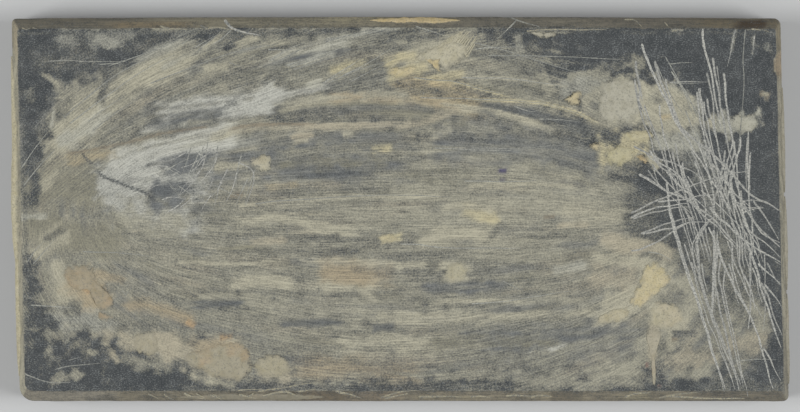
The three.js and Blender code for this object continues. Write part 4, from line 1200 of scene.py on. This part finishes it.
fine_strokes = [
    [(48, 62), (70, 61), (96, 62), (127, 62)], [(100, 65), (115, 64), (127, 66)],
    [(232, 30), (220, 40), (203, 50)], [(200, 25), (206, 28), (215, 31)], [(415, 26), (432, 32), (450, 38)],
    [(510, 17), (522, 22), (539, 27)], [(516, 21), (508, 29), (496, 40)],
    [(473, 43), (494, 48), (522, 56), (567, 70), (584, 73)], [(474, 50), (489, 48), (526, 47)],
    [(487, 56), (528, 56), (565, 57), (600, 59), (625, 60)], [(461, 78), (510, 79), (540, 83), (565, 87)],
    [(413, 78), (432, 80), (454, 82), (480, 89), (508, 96)],
    [(420, 98), (471, 99), (510, 101), (544, 104), (577, 114), (597, 124)],
    [(513, 106), (530, 112), (541, 109)], [(538, 119), (558, 120), (579, 122)],
    [(434, 148), (470, 150), (519, 151)], [(471, 148), (510, 149), (540, 147), (571, 144)],
    [(464, 181), (500, 182), (536, 181)],
    [(255, 204), (280, 201), (308, 199), (357, 196), (400, 195), (450, 197)],
    [(400, 244), (420, 245), (438, 247), (480, 248), (521, 248)], [(502, 281), (514, 287), (527, 294)],
    [(471, 304), (490, 302), (512, 300), (553, 293), (572, 291)], [(83, 252), (110, 252), (150, 256)],
    [(31, 305), (52, 306), (77, 308)], [(55, 369), (69, 366), (101, 363)], [(69, 360), (76, 358), (82, 357)],
    [(24, 373), (31, 376), (50, 382), (71, 382)], [(194, 380), (192, 384), (190, 387)],
    [(122, 290), (126, 295), (131, 300)], [(129, 290), (126, 295), (124, 300)],
    [(669, 64), (680, 63), (692, 63)], [(671, 83), (688, 84), (702, 83)],
    [(734, 361), (755, 359), (775, 359)],
    [(744, 30), (742, 59), (743, 78), (742, 103), (739, 135), (735, 169)],
    [(647, 252), (656, 253), (664, 256), (675, 263)], [(170, 42), (171, 38), (173, 33)],
    [(177, 38), (183, 35), (189, 33)], [(110, 66), (150, 52), (188, 36)], [(84, 100), (118, 74), (152, 56)],
    [(70, 124), (104, 98), (142, 72), (176, 54)], [(150, 84), (190, 68), (236, 52), (278, 44)],
    [(268, 62), (286, 50), (306, 42)], [(280, 62), (300, 50), (319, 42)],
    [(285, 66), (310, 58), (333, 51), (347, 47)], [(325, 43), (332, 40), (340, 38), (364, 32), (389, 27)],
    [(342, 76), (366, 64), (392, 48)], [(350, 82), (376, 68), (398, 56)], [(22, 168), (34, 150), (48, 132)],
    [(24, 186), (40, 166), (56, 150)], [(28, 262), (36, 250), (46, 240)], [(34, 264), (44, 252), (56, 238)],
    [(287, 67), (304, 61), (322, 56)], [(290, 68), (312, 60), (337, 52)], [(293, 70), (318, 62), (346, 54)],
    [(271, 61), (284, 53), (297, 47)], [(273, 64), (288, 56), (303, 48)], [(325, 82), (344, 70), (363, 58)],
    [(330, 83), (356, 71), (385, 62)], [(322, 84), (338, 76), (352, 66)], [(325, 40), (336, 38), (347, 36)],
    [(353, 37), (380, 31), (405, 28)], [(195, 48), (205, 42), (215, 36)], [(198, 51), (209, 42), (221, 32)],
    [(182, 45), (188, 40), (193, 36)], [(229, 63), (235, 65), (243, 67)], [(268, 50), (280, 50), (294, 50)],
    [(92, 132), (112, 116), (134, 102)], [(88, 122), (104, 110), (124, 96)],
    [(64, 118), (80, 104), (98, 90)],
]


def slab_height(x, y):
    """How high the slab's surface is at a place, on its face or on the bevel round it.

    The bevel's inset is its width times the climb to the power of its roll, so the climb is the
    place's distance from the side as a share of the width, to the power of 1 over the roll. The
    run of paint on the front bevel adds its depth, measured upright.
    """
    straight_x = x + out_of_square * y / slab_width
    bowed = back_edge_bow * np.clip(y / half_width, 0, 1) * (x / half_length) ** 2
    inside = {
        "left": half_length + straight_x, "right": half_length - straight_x,
        "front": half_width + y, "back": half_width - y - bowed,
    }
    shares = [np.clip((inside[side] - bevel_wear) / width, 0, 1) for side, width in bevel_width.items()]
    share = np.min(shares, axis=0)
    height = slab_thickness - bevel_drop * (1 - share ** (1 / bevel_roll))
    height = height + bevel_lift * smooth(1, 0.9, share)
    from_left = x + half_length
    start, stop = front_run_ends
    run = smooth(start, start + 12, from_left) * smooth(stop, stop - 12, from_left)
    run = run * smooth(3.9, 2.9, inside["front"])
    return height + front_run_depth * run


def paint_lift(x, y):
    """How much higher the surface is where thick paint lies: each paint's own thickness, inside a
    squarish footprint, whose distance is the fourth root of the sum of the fourth powers."""
    lift = np.zeros_like(x)
    for name in crossed_paint:
        low, high = (np.array(corner) * 1000 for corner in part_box(name))
        middle, reach = (low + high) / 2, (high - low) / 2
        off = (np.abs((x - middle[0]) / reach[0]) ** 4 + np.abs((y - middle[1]) / reach[1]) ** 4) ** 0.25
        lift = np.maximum(lift, (high[2] - slab_thickness) * smooth(1.0, 0.86, off))
    return lift


def burr(path, width, dust, seed):
    """Points, faces and colours of one burr: a four-sided sliver carried along a smooth path.

    It is blunt where the point was set down and thin where it was lifted. Noise along it makes
    it wander, swell, rise and fall, and lightens and darkens its dust.
    """
    line = smooth_path(on_face(path), burr_step)
    way = np.gradient(line, axis=0)
    way = way / np.linalg.norm(way, axis=1)[:, None]
    aside = np.stack([-way[:, 1], way[:, 0]], 1)
    along = np.arange(len(line)) * burr_step
    taper = smooth(-0.5, 0.5, along) * (0.55 + 0.45 * smooth(0, 9, along[-1] - along))
    taper = taper * (1.15 - 0.3 * smooth(0, 0.7, along / along[-1]))
    taper = taper * smooth(-0.3, 0.6, along[-1] - along)
    row = np.full(len(line), seed * 0.37)
    line = line + aside * (0.18 * noise(along / 7, row, 7))[:, None]
    press = 0.85 + 0.2 * math.sin(seed * 2.4) ** 2
    half = width / 2 * press * taper * (1 + 0.2 * noise(along / 1.1, row + 5, 8))
    lift = burr_height * (1 + 0.4 * noise(along / 0.9, row + 9, 9)) * taper
    sunk = np.full(len(line), -burr_edge_root)
    heights = np.stack([sunk, lift, sunk, np.full(len(line), -burr_root)])
    flat = np.stack([line + aside * half[:, None], line, line - aside * half[:, None], line])
    heights = heights + slab_height(flat[:, :, 0], flat[:, :, 1])
    heights[:3] += paint_lift(flat[:3, :, 0], flat[:3, :, 1])
    points = np.concatenate([flat, heights[:, :, None]], axis=2)
    points = points.transpose(1, 0, 2).reshape(-1, 3)
    last = len(points) - 4
    ends = [[3, 2, 1, 0], [last, last + 1, last + 2, last + 3]]
    faces = np.concatenate([ring_faces(len(line), 4), ends])
    colours = dust * (0.8 + 0.22 * math.sin(seed * 1.7) ** 2)
    colours = colours * (1 + 0.14 * np.repeat(noise(along / 1.5, row, 10), 4))[:, None]
    return points, faces[:, ::-1], colours


rim_strokes = [
    [(184, 393), (191, 396), (206, 399)], [(164, 394), (168, 397), (174, 400)],
    [(196, 393), (202, 396), (206, 398)], [(213, 394), (219, 396), (225, 399)],
    [(239, 394), (247, 396), (258, 399)], [(254, 393), (250, 395), (244, 396)],
    [(262, 396), (272, 393), (282, 391), (290, 390)], [(286, 391), (294, 394), (302, 398)],
    [(297, 391), (306, 390), (316, 388)], [(338, 392), (350, 394), (362, 398)],
    [(258, 391), (270, 389), (286, 387), (300, 384), (322, 382)], [(238, 390), (252, 389), (262, 389)],
    [(148, 394), (153, 396), (159, 399)], [(210, 395), (216, 397), (222, 400)],
    [(265, 396), (275, 393), (285, 392), (292, 394), (300, 398)], [(335, 391), (346, 393), (360, 398)],
    [(380, 398), (391, 394), (402, 391), (420, 390)], [(384, 399), (394, 396), (408, 393)],
    [(418, 397), (440, 396), (462, 397)], [(470, 397), (480, 396), (492, 397)],
    [(505, 396), (518, 395), (534, 396)], [(530, 397), (540, 395), (552, 396)],
    [(624, 397), (636, 393), (650, 392)], [(658, 398), (676, 394), (700, 391)],
    [(666, 396), (684, 397), (714, 398), (745, 398)], [(22, 28), (27, 30), (31, 28)], [(33, 28), (37, 29)],
    [(61, 29), (66, 28)], [(160, 26), (170, 29), (188, 30)], [(526, 31), (560, 30), (606, 30)],
    [(671, 31), (677, 30), (683, 30)], [(750, 29), (758, 30), (768, 32)], [(624, 19), (634, 20), (641, 27)],
    [(664, 22), (668, 27)], [(205, 29), (217, 28), (232, 30), (246, 32)],
]


def dusty_material(name):
    """Pale dust broken by fine dark grain, in the colour that the mesh carries."""
    material, tree, shader = new_material(name)
    place = add_node(tree, "ShaderNodeTexCoord").outputs["Object"]
    grain = speckle(tree, place, 1300, 3, 0.9)
    film = attribute(tree, "film", "Color")
    worn = ramp(tree, grain, 0.34, 0.62)
    tree.links.new(blended(tree, worn, tint(98, 101, 101), film), shader.inputs["Base Color"])
    roughen(tree, shader, grain, 0.6, 0.00008)
    shader.inputs["Roughness"].default_value = 0.85
    return material


def burr_piece(name, strokes, width, dust, seed):
    """One object of all the burrs of a kind, each a closed sliver."""
    points, faces, colours = [], [], []
    total = 0
    for number, path in enumerate(strokes):
        bit_points, bit_faces, bit_colours = burr(path, width, dust, seed + number)
        points.append(bit_points)
        faces.append(bit_faces + total)
        colours.append(bit_colours)
        total += len(bit_points)
    piece = new_piece(name, np.concatenate(points), np.concatenate(faces), burr_dust, smooth_angle=80)
    set_values(piece.data, "film", "FLOAT_COLOR", np.concatenate(colours))
    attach(piece, "root")


def quick_strokes(count, start_line, lean, reach, seed):
    """Quick strokes of the point side by side: each starts near a line, runs on at a lean between
    two angles, turned clockwise from the right, and bends a little."""
    draw = np.random.default_rng(seed)
    paths = []
    for _ in range(count):
        share, slope, length = draw.uniform(0, 1), draw.uniform(*lean), draw.uniform(*reach)
        start = np.array(start_line[0]) * (1 - share) + np.array(start_line[1]) * share
        start = start + draw.normal(0, 9, 2)
        way = np.array([math.cos(math.radians(slope)), math.sin(math.radians(slope))])
        bend = np.array([-way[1], way[0]]) * draw.uniform(-0.05, 0.05) * length
        line = np.array([start, start + way * length / 2 + bend, start + way * length])
        line[:, 0] = np.minimum(line[:, 0], last_place - 4 * draw.uniform())
        paths.append([tuple(point) for point in line])
    return paths


def echoed(strokes, highest, spread, seed):
    """Copies of the steep strokes that start in front of a line, each moved a little aside and
    some cut shorter, for the hand went over the same place again and again."""
    draw = np.random.default_rng(seed)
    copies = []
    for stroke in strokes:
        fall = abs(stroke[-1][1] - stroke[0][1])
        if stroke[0][1] < highest or len(stroke) < 4 or fall < abs(stroke[-1][0] - stroke[0][0]):
            continue
        shift = draw.normal(0, spread, 2) * (1, 0.6)
        line = np.array(stroke[draw.integers(0, 2) :], float) + shift
        line = line[line[:, 0] < 765]
        if len(line) < 3:
            continue
        copies.append([tuple(point) for point in line])
    return copies


crossing = heavy_strokes[7:18]
middling_strokes += echoed(middling_strokes[6:36] + crossing, 110, 5.5, 21)
light_strokes += echoed(middling_strokes[:36] + crossing, 110, 7, 22)
fine_strokes += quick_strokes(14, [(198, 152), (250, 166)], (96, 120), (20, 44), 11)
fine_strokes += quick_strokes(12, [(150, 166), (204, 188)], (-50, 50), (12, 30), 12)
fine_strokes += quick_strokes(7, [(660, 60), (700, 130)], (56, 66), (30, 70), 13)
burr_dust = dusty_material("scratch_dust")
burr_piece("heavy_scratches", heavy_strokes, heavy_width, knife_dust, 0)
burr_piece("middling_scratches", middling_strokes, middling_width, knife_dust, 50)
burr_piece("light_scratches", light_strokes, light_width, knife_dust, 150)
burr_piece("fine_scratches", fine_strokes, fine_width, fine_dust, 200)
burr_piece("rim_scratches", rim_strokes, rim_width, rim_dust, 400)


# The deposits: paint that was laid down thick with a knife or dabbed from a brush, and dried
# where it stood. Each keeps the outline and height of its CAD solid, with an edge that breaks up
# and a skin that the knife has ridged.

deposit_rings = (*np.arange(1.18, 0.66, -0.02), 0.6, 0.52, 0.42, 0.3, 0.16)
deposit_points = 220
deposit_root = 0.07  # how far the film is sunk where it ends, in millimetres
edge_width = 2.4  # over which it goes from thin to whole
warm_blush = tint(168, 146, 116)


def face_value(values, x, y):
    """What the slab's face holds at places on it, read from the nearest point of its grid."""
    across = (x + out_of_square * y / slab_width + half_length - bevel_width["left"]) * face_columns
    across = across / (slab_length - bevel_width["left"] - bevel_width["right"])
    up = (y + half_width - bevel_width["front"]) * face_rows
    up = up / (slab_width - bevel_width["front"] - bevel_width["back"])
    column = np.clip(np.round(across), 0, face_columns).astype(int)
    row = np.clip(np.round(up), 0, face_rows).astype(int)
    return values[row * (face_columns + 1) + column]


def paint_material(name, ridge_angle):
    """Dried paint in the colour that the mesh carries, mottled darker, with fine grain and ridges.

    Where it thins out at its edge, its grains break up and the wiped face shows between them.
    """
    material, tree, shader = new_material(name)
    place = add_node(tree, "ShaderNodeTexCoord").outputs["Object"]
    turned = add_node(tree, "ShaderNodeMapping", {"Vector": place})
    turned.inputs["Rotation"].default_value = (0, 0, -math.radians(ridge_angle))
    turned.inputs["Scale"].default_value = (90, 900, 90)
    mottle = speckle(tree, place, 330, 4, 0.7)
    grain = speckle(tree, place, 1500, 3, 0.8)
    ridges = speckle(tree, turned.outputs["Vector"], 1, 3, 0.55)
    paint = attribute(tree, "paint", "Color")
    darker = add_node(tree, "ShaderNodeHueSaturation", {"Color": paint, "Saturation": 1.15, "Value": 0.83})
    mixed = blended(tree, ramp(tree, mottle, 0.4, 0.72), paint, darker.outputs["Color"])
    mixed = blended(tree, ramp(tree, ridges, 0.52, 0.8, 0, 0.4), mixed, darker.outputs["Color"])
    mixed = blended(tree, ramp(tree, grain, 0.46, 0.72, 0, 0.75), mixed, tint(104, 104, 97))
    wiped = calculate(tree, "ADD", attribute(tree, "cover"), weighed(tree, (grain, 2.2)))
    film = attribute(tree, "film", "Color")
    face = blended(tree, evenly(tree, wiped, -0.12, 1.02), tint(44, 48, 50), film)
    inside = attribute(tree, "inside")
    whole = calculate(tree, "ADD", inside, weighed(tree, (grain, 2.6), (mottle, 1.0)))
    whole = ramp(tree, whole, 0.0, 0.8)
    tree.links.new(blended(tree, whole, face, mixed), shader.inputs["Base Color"])
    height = calculate(tree, "ADD", ridges, calculate(tree, "MULTIPLY", grain, 0.5))
    roughen(tree, shader, height, 0.6, 0.00015)
    tree.links.new(ramp(tree, mottle, 0.3, 0.7, 0.68, 0.82), shader.inputs["Roughness"])
    return material


def even_outline(off):
    """A closed line's offsets from its middle, in even steps anticlockwise."""
    line = np.concatenate([off, off[:1]])
    return points_along(line, np.linspace(0, along_line(line)[-1], deposit_points + 1)[:-1])


def solid_outline(name):
    """The line round a CAD deposit where it meets the face, as a middle and offsets from it, in
    millimetres, and the deposit's thickness."""
    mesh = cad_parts[name].data
    points = np.empty(3 * len(mesh.vertices))
    mesh.vertices.foreach_get("co", points)
    points = points.reshape(-1, 3) * 1000
    ends = np.empty(2 * len(mesh.edges), int)
    mesh.edges.foreach_get("vertices", ends)
    ends = ends.reshape(-1, 2)
    is_low = points[:, 2] < slab_thickness + 0.01
    wall = ends[is_low[ends[:, 0]] != is_low[ends[:, 1]]]
    low = np.unique(points[wall[is_low[wall]], :2].round(3), axis=0)
    middle = (low.min(0) + low.max(0)) / 2
    off = low - middle
    off = off[np.argsort(np.arctan2(off[:, 1], off[:, 0]))]
    return middle, even_outline(off), points[:, 2].max() - slab_thickness


def film_shape(name, shape, ridge, pitch, angle, fray):
    """Points and faces of a closed film, and how far inside its edge each point is.

    Its shape is a middle, the offsets of its outline from there, and a thickness. The points are
    rings of that outline, from 1.18 of its size in to the middle. A point's distance from the
    outline, changed by noise times the fray, says where the film rises out of the face, so its
    edge is ragged and has islands. Inside it is nearly flat, with sine waves of the given pitch
    and noise, and outside it is sunk in the stone.
    """
    middle, off, thickness = shape
    seed = sum(map(ord, name))
    distance = np.hypot(*off.T)
    reach = np.array(deposit_rings)[:, None]
    x = middle[0] + reach * off[:, 0]
    y = middle[1] + reach * off[:, 1]
    turn = math.radians(angle)
    across = (y - middle[1]) * math.cos(turn) - (x - middle[0]) * math.sin(turn)
    wave = 0.7 * np.sin(2 * math.pi * across / pitch + 2 * ragged(x, y, 6, seed))
    wave = wave + ragged(x, y, 1.4, seed + 3)
    skin = np.minimum(0.88 + ridge * (wave - 1.2) * 0.7, 0.97)
    torn = fray * (1.5 * ragged(x, y, 4.5, seed) + 1.3 * ragged(x, y, 1.3, seed + 5))
    outside = (reach - 1) * distance + torn
    risen = smooth(0.3, -1.4, outside) * smooth(1.18, 1.1, reach)
    z = (thickness * skin + deposit_root) * risen - deposit_root
    points = np.stack([x, y, slab_thickness + z], -1).reshape(-1, 3)
    hub = np.array([[*middle, slab_thickness + thickness * 0.85]])
    under = np.array([[*middle, slab_thickness - 3 * deposit_root]])
    outer = np.arange(deposit_points)
    after = (outer + 1) % deposit_points
    inmost = (len(deposit_rings) - 1) * deposit_points
    top = np.stack([inmost + outer, inmost + after, np.full_like(outer, len(points))], -1)
    bottom = np.stack([after, outer, np.full_like(outer, len(points) + 1)], -1)
    faces = ring_faces(len(deposit_rings), deposit_points).tolist() + top.tolist() + bottom.tolist()
    inside = np.append(np.clip(-outside / edge_width, -1, 1).ravel(), [1, 1])
    return np.concatenate([points, hub, under]), faces, inside


def set_paint(piece, points, inside, paint, blush, under=None):
    """Stores a deposit's colours: its paint, blotched and blushed warm, and what it lies over,
    which is the face's film unless another colour and cover are given."""
    x, y = points[:, :2].T
    blotch = 1 + 0.06 * ragged(x, y, 6, 501) + 0.05 * ragged(x, y, 1.6, 502)
    colour = paint * blotch[:, None]
    colour = colour + (warm_blush - colour) * (blush * smooth(0.0, 0.7, ragged(x, y, 7, 503)))[:, None]
    set_values(piece.data, "paint", "FLOAT_COLOR", colour)
    film, cover = under or (face_value(film_colour, x, y), face_value(film_cover, x, y))
    set_values(piece.data, "film", "FLOAT_COLOR", film * np.ones((len(x), 3)))
    set_values(piece.data, "cover", "FLOAT", cover * np.ones(len(x)))
    set_values(piece.data, "inside", "FLOAT", inside)


def deposit(name, material, shade, blush=0.1, ridge=0.12, pitch=2.4, angle=20, fray=0.8):
    """The finer film that stands in the place of a CAD deposit, in a shade as seen on a screen."""
    points, faces, inside = film_shape(name, solid_outline(name), ridge, pitch, angle, fray)
    piece = new_piece(f"{name}_film", points, faces, material, smooth_angle=60)
    set_paint(piece, points, inside, tint(*shade), blush)
    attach(piece, "root")
    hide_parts(name)


cream_paint = paint_material("cream_paint", 10)
ochre_paint = paint_material("ochre_paint", 25)
yellow_paint = paint_material("yellow_paint", 60)
flesh_paint = paint_material("flesh_paint", -50)

cream_dabs = {
    "cream_patch_back_right": ((167, 164, 148), 0.0),
    "pale_patch_far_right": ((166, 164, 149), 0.0),
    "cream_lobe_front_right": ((173, 167, 144), 0.1),
    "cream_drip": ((162, 156, 137), 0.2),
    "cream_dab_front_left": ((159, 153, 133), 0.1),
    "cream_patch_front_left": ((154, 148, 128), 0.5),
    "cream_blob_front_left": ((160, 154, 132), 0.3),
    "cream_dab_left": ((176, 171, 149), 0.1),
    "cream_dab_right_of_middle": ((169, 164, 141), 0.1),
    "cream_smear_back_arris": ((160, 156, 139), 0.0),
}
ochre_dabs = {
    "brushed_dab_ochre_lump": (190, 176, 139),
    "brushed_dab_ochre_trail": (184, 173, 139),
    "ochre_flake": (183, 172, 139),
    "ochre_dab_left": (182, 170, 137),
    "ochre_dab_right": (184, 165, 127),
}
yellow_dabs = {
    "yellow_arm": (177, 170, 140),
    "yellow_patch": (173, 167, 137),
    "yellow_dab_front_right": (185, 175, 142),
    "yellow_dab_tail": (172, 165, 140),
    "yellow_dab_middle": (182, 173, 142),
}
for name, (shade, blush) in cream_dabs.items():
    deposit(name, cream_paint, shade, blush, fray=0.6)
for name, shade in ochre_dabs.items():
    deposit(name, ochre_paint, shade, ridge=0.2, fray=0.45)
for name, shade in yellow_dabs.items():
    deposit(name, yellow_paint, shade, ridge=0.18, angle=55)
deposit("flesh_plateau", flesh_paint, (152, 142, 120), 0.5, ridge=0.25, angle=-50)
deposit("flesh_dab", flesh_paint, (158, 143, 118), 0.5, ridge=0.25, angle=-50)


# The brushed dab: a dab that a stiff brush dragged towards the back right. Its body is ridged
# along the pull, and each hair of the brush drew a mark out of its far edge.

dab_body = [
    (413, 60), (424, 51), (440, 45), (456, 41), (468, 46), (464, 56), (455, 66), (446, 72),
    (437, 66), (426, 63),
]
dab_thickness = 0.66
dab_hairs = 17
dab_roots = [(432, 52), (446, 47), (460, 50), (466, 58)]
dab_tips = [(452, 36), (462, 31), (470, 29), (478, 40)]
hair_width = 0.85
hair_height = 0.35
hair_root = 0.04
hair_rings = 12
hair_ring = 7  # points in each of its half rings


def dab_shape():
    """The dab's body as a middle, its outline's offsets from there, and its thickness."""
    line = smooth_path(on_face([*dab_body, dab_body[0]]), 0.5)[:-1]
    middle = (line.min(0) + line.max(0)) / 2
    return middle, even_outline((line - middle)[::-1]), dab_thickness


def hair_mark(root, tip, number):
    """Points and faces of one hair's mark: a half-round bead that thins from its root to its tip."""
    share = np.linspace(0, 1, hair_rings)[:, None]
    line = root + (tip - root) * share
    way = (tip - root) / np.linalg.norm(tip - root)
    aside = np.array([-way[1], way[0]])
    line = line + aside * 0.12 * noise(share * 3, share * 0 + number, 71)
    size = (1 - 0.7 * share**1.5) * smooth(1.02, 0.93, share)
    size = size * (1 + 0.25 * noise(share * 6, share * 0 + number, 72))
    turn = np.radians(np.linspace(0, 180, hair_ring))[None, :, None]
    flat = line[:, None] + aside * hair_width / 2 * size[:, None] * np.cos(turn)
    rise = slab_thickness - hair_root + (hair_height + hair_root) * size[:, None] * np.sin(turn)
    points = np.concatenate([flat, rise], axis=2).reshape(-1, 3)
    first_ring = list(range(hair_ring))
    last_ring = [corner + (hair_rings - 1) * hair_ring for corner in first_ring]
    return points, ring_faces(hair_rings, hair_ring).tolist() + [first_ring[::-1], last_ring]


dab_points, dab_faces, dab_inside = film_shape("brushed_dab", dab_shape(), 0.3, 2, 38, 0.7)
roots = smooth_path(on_face(dab_roots), 0.1)
tips = smooth_path(on_face(dab_tips), 0.1)
hair_places = np.linspace(0, 1, dab_hairs) + np.random.default_rng(8).uniform(-0.02, 0.02, dab_hairs)
hair_reaches = np.random.default_rng(9).uniform(0.72, 1.05, dab_hairs)
for number, (share, reach) in enumerate(zip(np.clip(hair_places, 0, 1), hair_reaches)):
    root = roots[int(share * (len(roots) - 1))]
    tip = root + (tips[int(share * (len(tips) - 1))] - root) * reach
    hair_points, hair_faces = hair_mark(root, tip, number)
    dab_faces += [[corner + len(dab_points) for corner in face] for face in hair_faces]
    dab_points = np.concatenate([dab_points, hair_points])
brushed_paint = paint_material("brushed_paint", 50)
brushed_dab = new_piece("brushed_dab_film", dab_points, dab_faces, brushed_paint, smooth_angle=60)
dab_inside = np.append(dab_inside, np.ones(len(dab_points) - len(dab_inside)))
set_paint(brushed_dab, dab_points, dab_inside, tint(176, 171, 149), 0.1)
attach(brushed_dab, "root")
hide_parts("brushed_dab")


# The runs of paint on the rim: paint that was pushed over the edge and dried against the bevel
# and the upright side, thickest where it was scraped off the knife.

run_edge = 0.7  # share of its thickness left at its upper and lower edges
run_tip = 0.08
run_step = 0.6
run_climb_steps = 14
run_root = 0.6  # how deep its back is sunk in the stone
rim_runs = {  # side, start and end along it, lowest and highest climb, and thickness
    "left_rim_paint": ("left", 15, 95.5, -0.9, 0.75, 1.9),
    "left_rim_paint_front": ("left", 93, 140, -0.4, 0.7, 0.7),
    "right_rim_paint_front": ("right", 6.9, 42, -0.4, 0.6, 0.5),
    "right_rim_paint_middle": ("right", 43.5, 80, -0.4, 0.6, 0.7),
    "right_rim_paint_back": ("right", 81.5, 122.7, -0.4, 0.6, 0.5),
    "back_rim_ochre": ("back", 125, 160, 0.1, 0.8, 0.5),
    "front_rim_paint": ("front", *front_run_ends, 0.2, 0.85, 0.45),
}
run_points = dict.fromkeys(rim_runs, (14, 14))  # how long a point it has at its start and its end
run_points["left_rim_paint"] = (14, 3)
run_points["left_rim_paint_front"] = (3, 14)
rim_swells = {
    "left_rim_paint": lambda share: 0.32 + 0.8 * smooth(0.35, 0.9, share),
    "left_rim_paint_front": lambda share: 1 - 0.3 * share,
    "right_rim_paint_front": lambda share: 0.9 + 0.2 * np.sin(9 * share),
    "right_rim_paint_middle": lambda share: 0.95 - 0.1 * np.cos(6 * share),
    "right_rim_paint_back": lambda share: 1 - 0.25 * share,
    "back_rim_ochre": lambda share: 0.8 + 0.3 * share,
    "front_rim_paint": lambda share: 0.9 + 0.2 * np.sin(11 * share),
}


def rim_run(name, material, slot_name, paint):
    """A run of paint carried along one side: a strip that follows the bevel and the upright side.

    It stands off the stone by its thickness times its swell along the run, feathered to nothing
    at its ends and ragged at its upper and lower edges, and its back is sunk in the stone.
    """
    side, start, stop, lowest, highest, thickness = rim_runs[name]
    width = bevel_width[side]
    out = np.array([bevel_drop, width]) / math.hypot(bevel_drop, width)
    count = int((stop - start) / run_step)
    share = np.linspace(0, 1, count + 1)[:, None]
    along = start + (stop - start) * share
    u = np.linspace(0, 1, run_climb_steps + 1)[None, :]
    climb = lowest + (highest - lowest) * u
    seed = sum(map(ord, name))
    rough = ragged(along + 0 * climb, climb * bevel_drop * 1.5 + 0 * along, 3, seed)
    feather = np.sqrt(np.sin(math.pi * np.clip(share, run_tip / 8, 1 - run_tip / 8)))
    body = run_edge + (1 - run_edge) * np.sin(math.pi * u)
    to_end = np.minimum(share / run_points[name][0], (1 - share) / run_points[name][1]) * (stop - start)
    narrowed = 0.5 + (u - 0.5) / np.clip(to_end**0.6, 0.05, 1)
    edge = smooth(0, 0.22, narrowed + 0.16 * rough) * smooth(0, 0.22, 1 - narrowed + 0.16 * rough)
    skin = 0.25 + thickness * rim_swells[name](share) * feather * body * (0.88 + 0.12 * rough)
    skin = np.where(edge > 0, skin * edge, 0) - 0.35 * (1 - edge)

    def strip(off):
        """The run's points where it stands this far off the side, out and up along its slope."""
        outward = np.where(climb < 0, off, off * out[0] - width * np.maximum(climb, 0) ** bevel_roll)
        up = np.where(climb < 0, 0, off * out[1]) + slab_thickness - bevel_drop * (1 - climb)
        places = {
            "left": (-half_length - outward, half_width - along),
            "right": (half_length + outward, along - half_width),
            "front": (along - half_length, -half_width - outward),
            "back": (half_length - along, half_width + outward),
        }
        x, y = dressed(*places[side])
        return np.stack(np.broadcast_arrays(x, y, up), -1)

    ring = np.concatenate([strip(np.full_like(rough, -run_root)), strip(skin)[:, ::-1]], axis=1)
    rows, columns = ring.shape[:2]
    faces = ring_faces(rows, columns).tolist()
    last = (rows - 1) * columns
    for i in range(run_climb_steps):
        j = columns - 1 - i
        faces.append([j, j - 1, i + 1, i])
        faces.append([last + i, last + i + 1, last + j - 1, last + j])
    points = ring.reshape(-1, 3)
    inside = np.concatenate([np.ones_like(edge), 1.6 * edge[:, ::-1] - 0.5], axis=1).ravel()
    piece = new_piece(f"{name}_skin", points, faces, material, smooth_angle=50)
    set_paint(piece, points, inside, paint, 0.1, rim_paint_and_shade[side])
    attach(piece, "root")
    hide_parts(name)


lengthwise_paint = paint_material("lengthwise_rim_paint", 0)
crosswise_paint = paint_material("crosswise_rim_paint", 90)
rim_paints = {
    "left": (crosswise_paint, "cream_paint", tint(180, 173, 146)),
    "right": (crosswise_paint, "cream_paint", tint(148, 144, 128)),
    "front": (lengthwise_paint, "cream_paint", tint(129, 124, 108)),
    "back": (lengthwise_paint, "ochre_paint", tint(186, 170, 132)),
}
for name, (side, *_) in rim_runs.items():
    rim_run(name, *rim_paints[side])
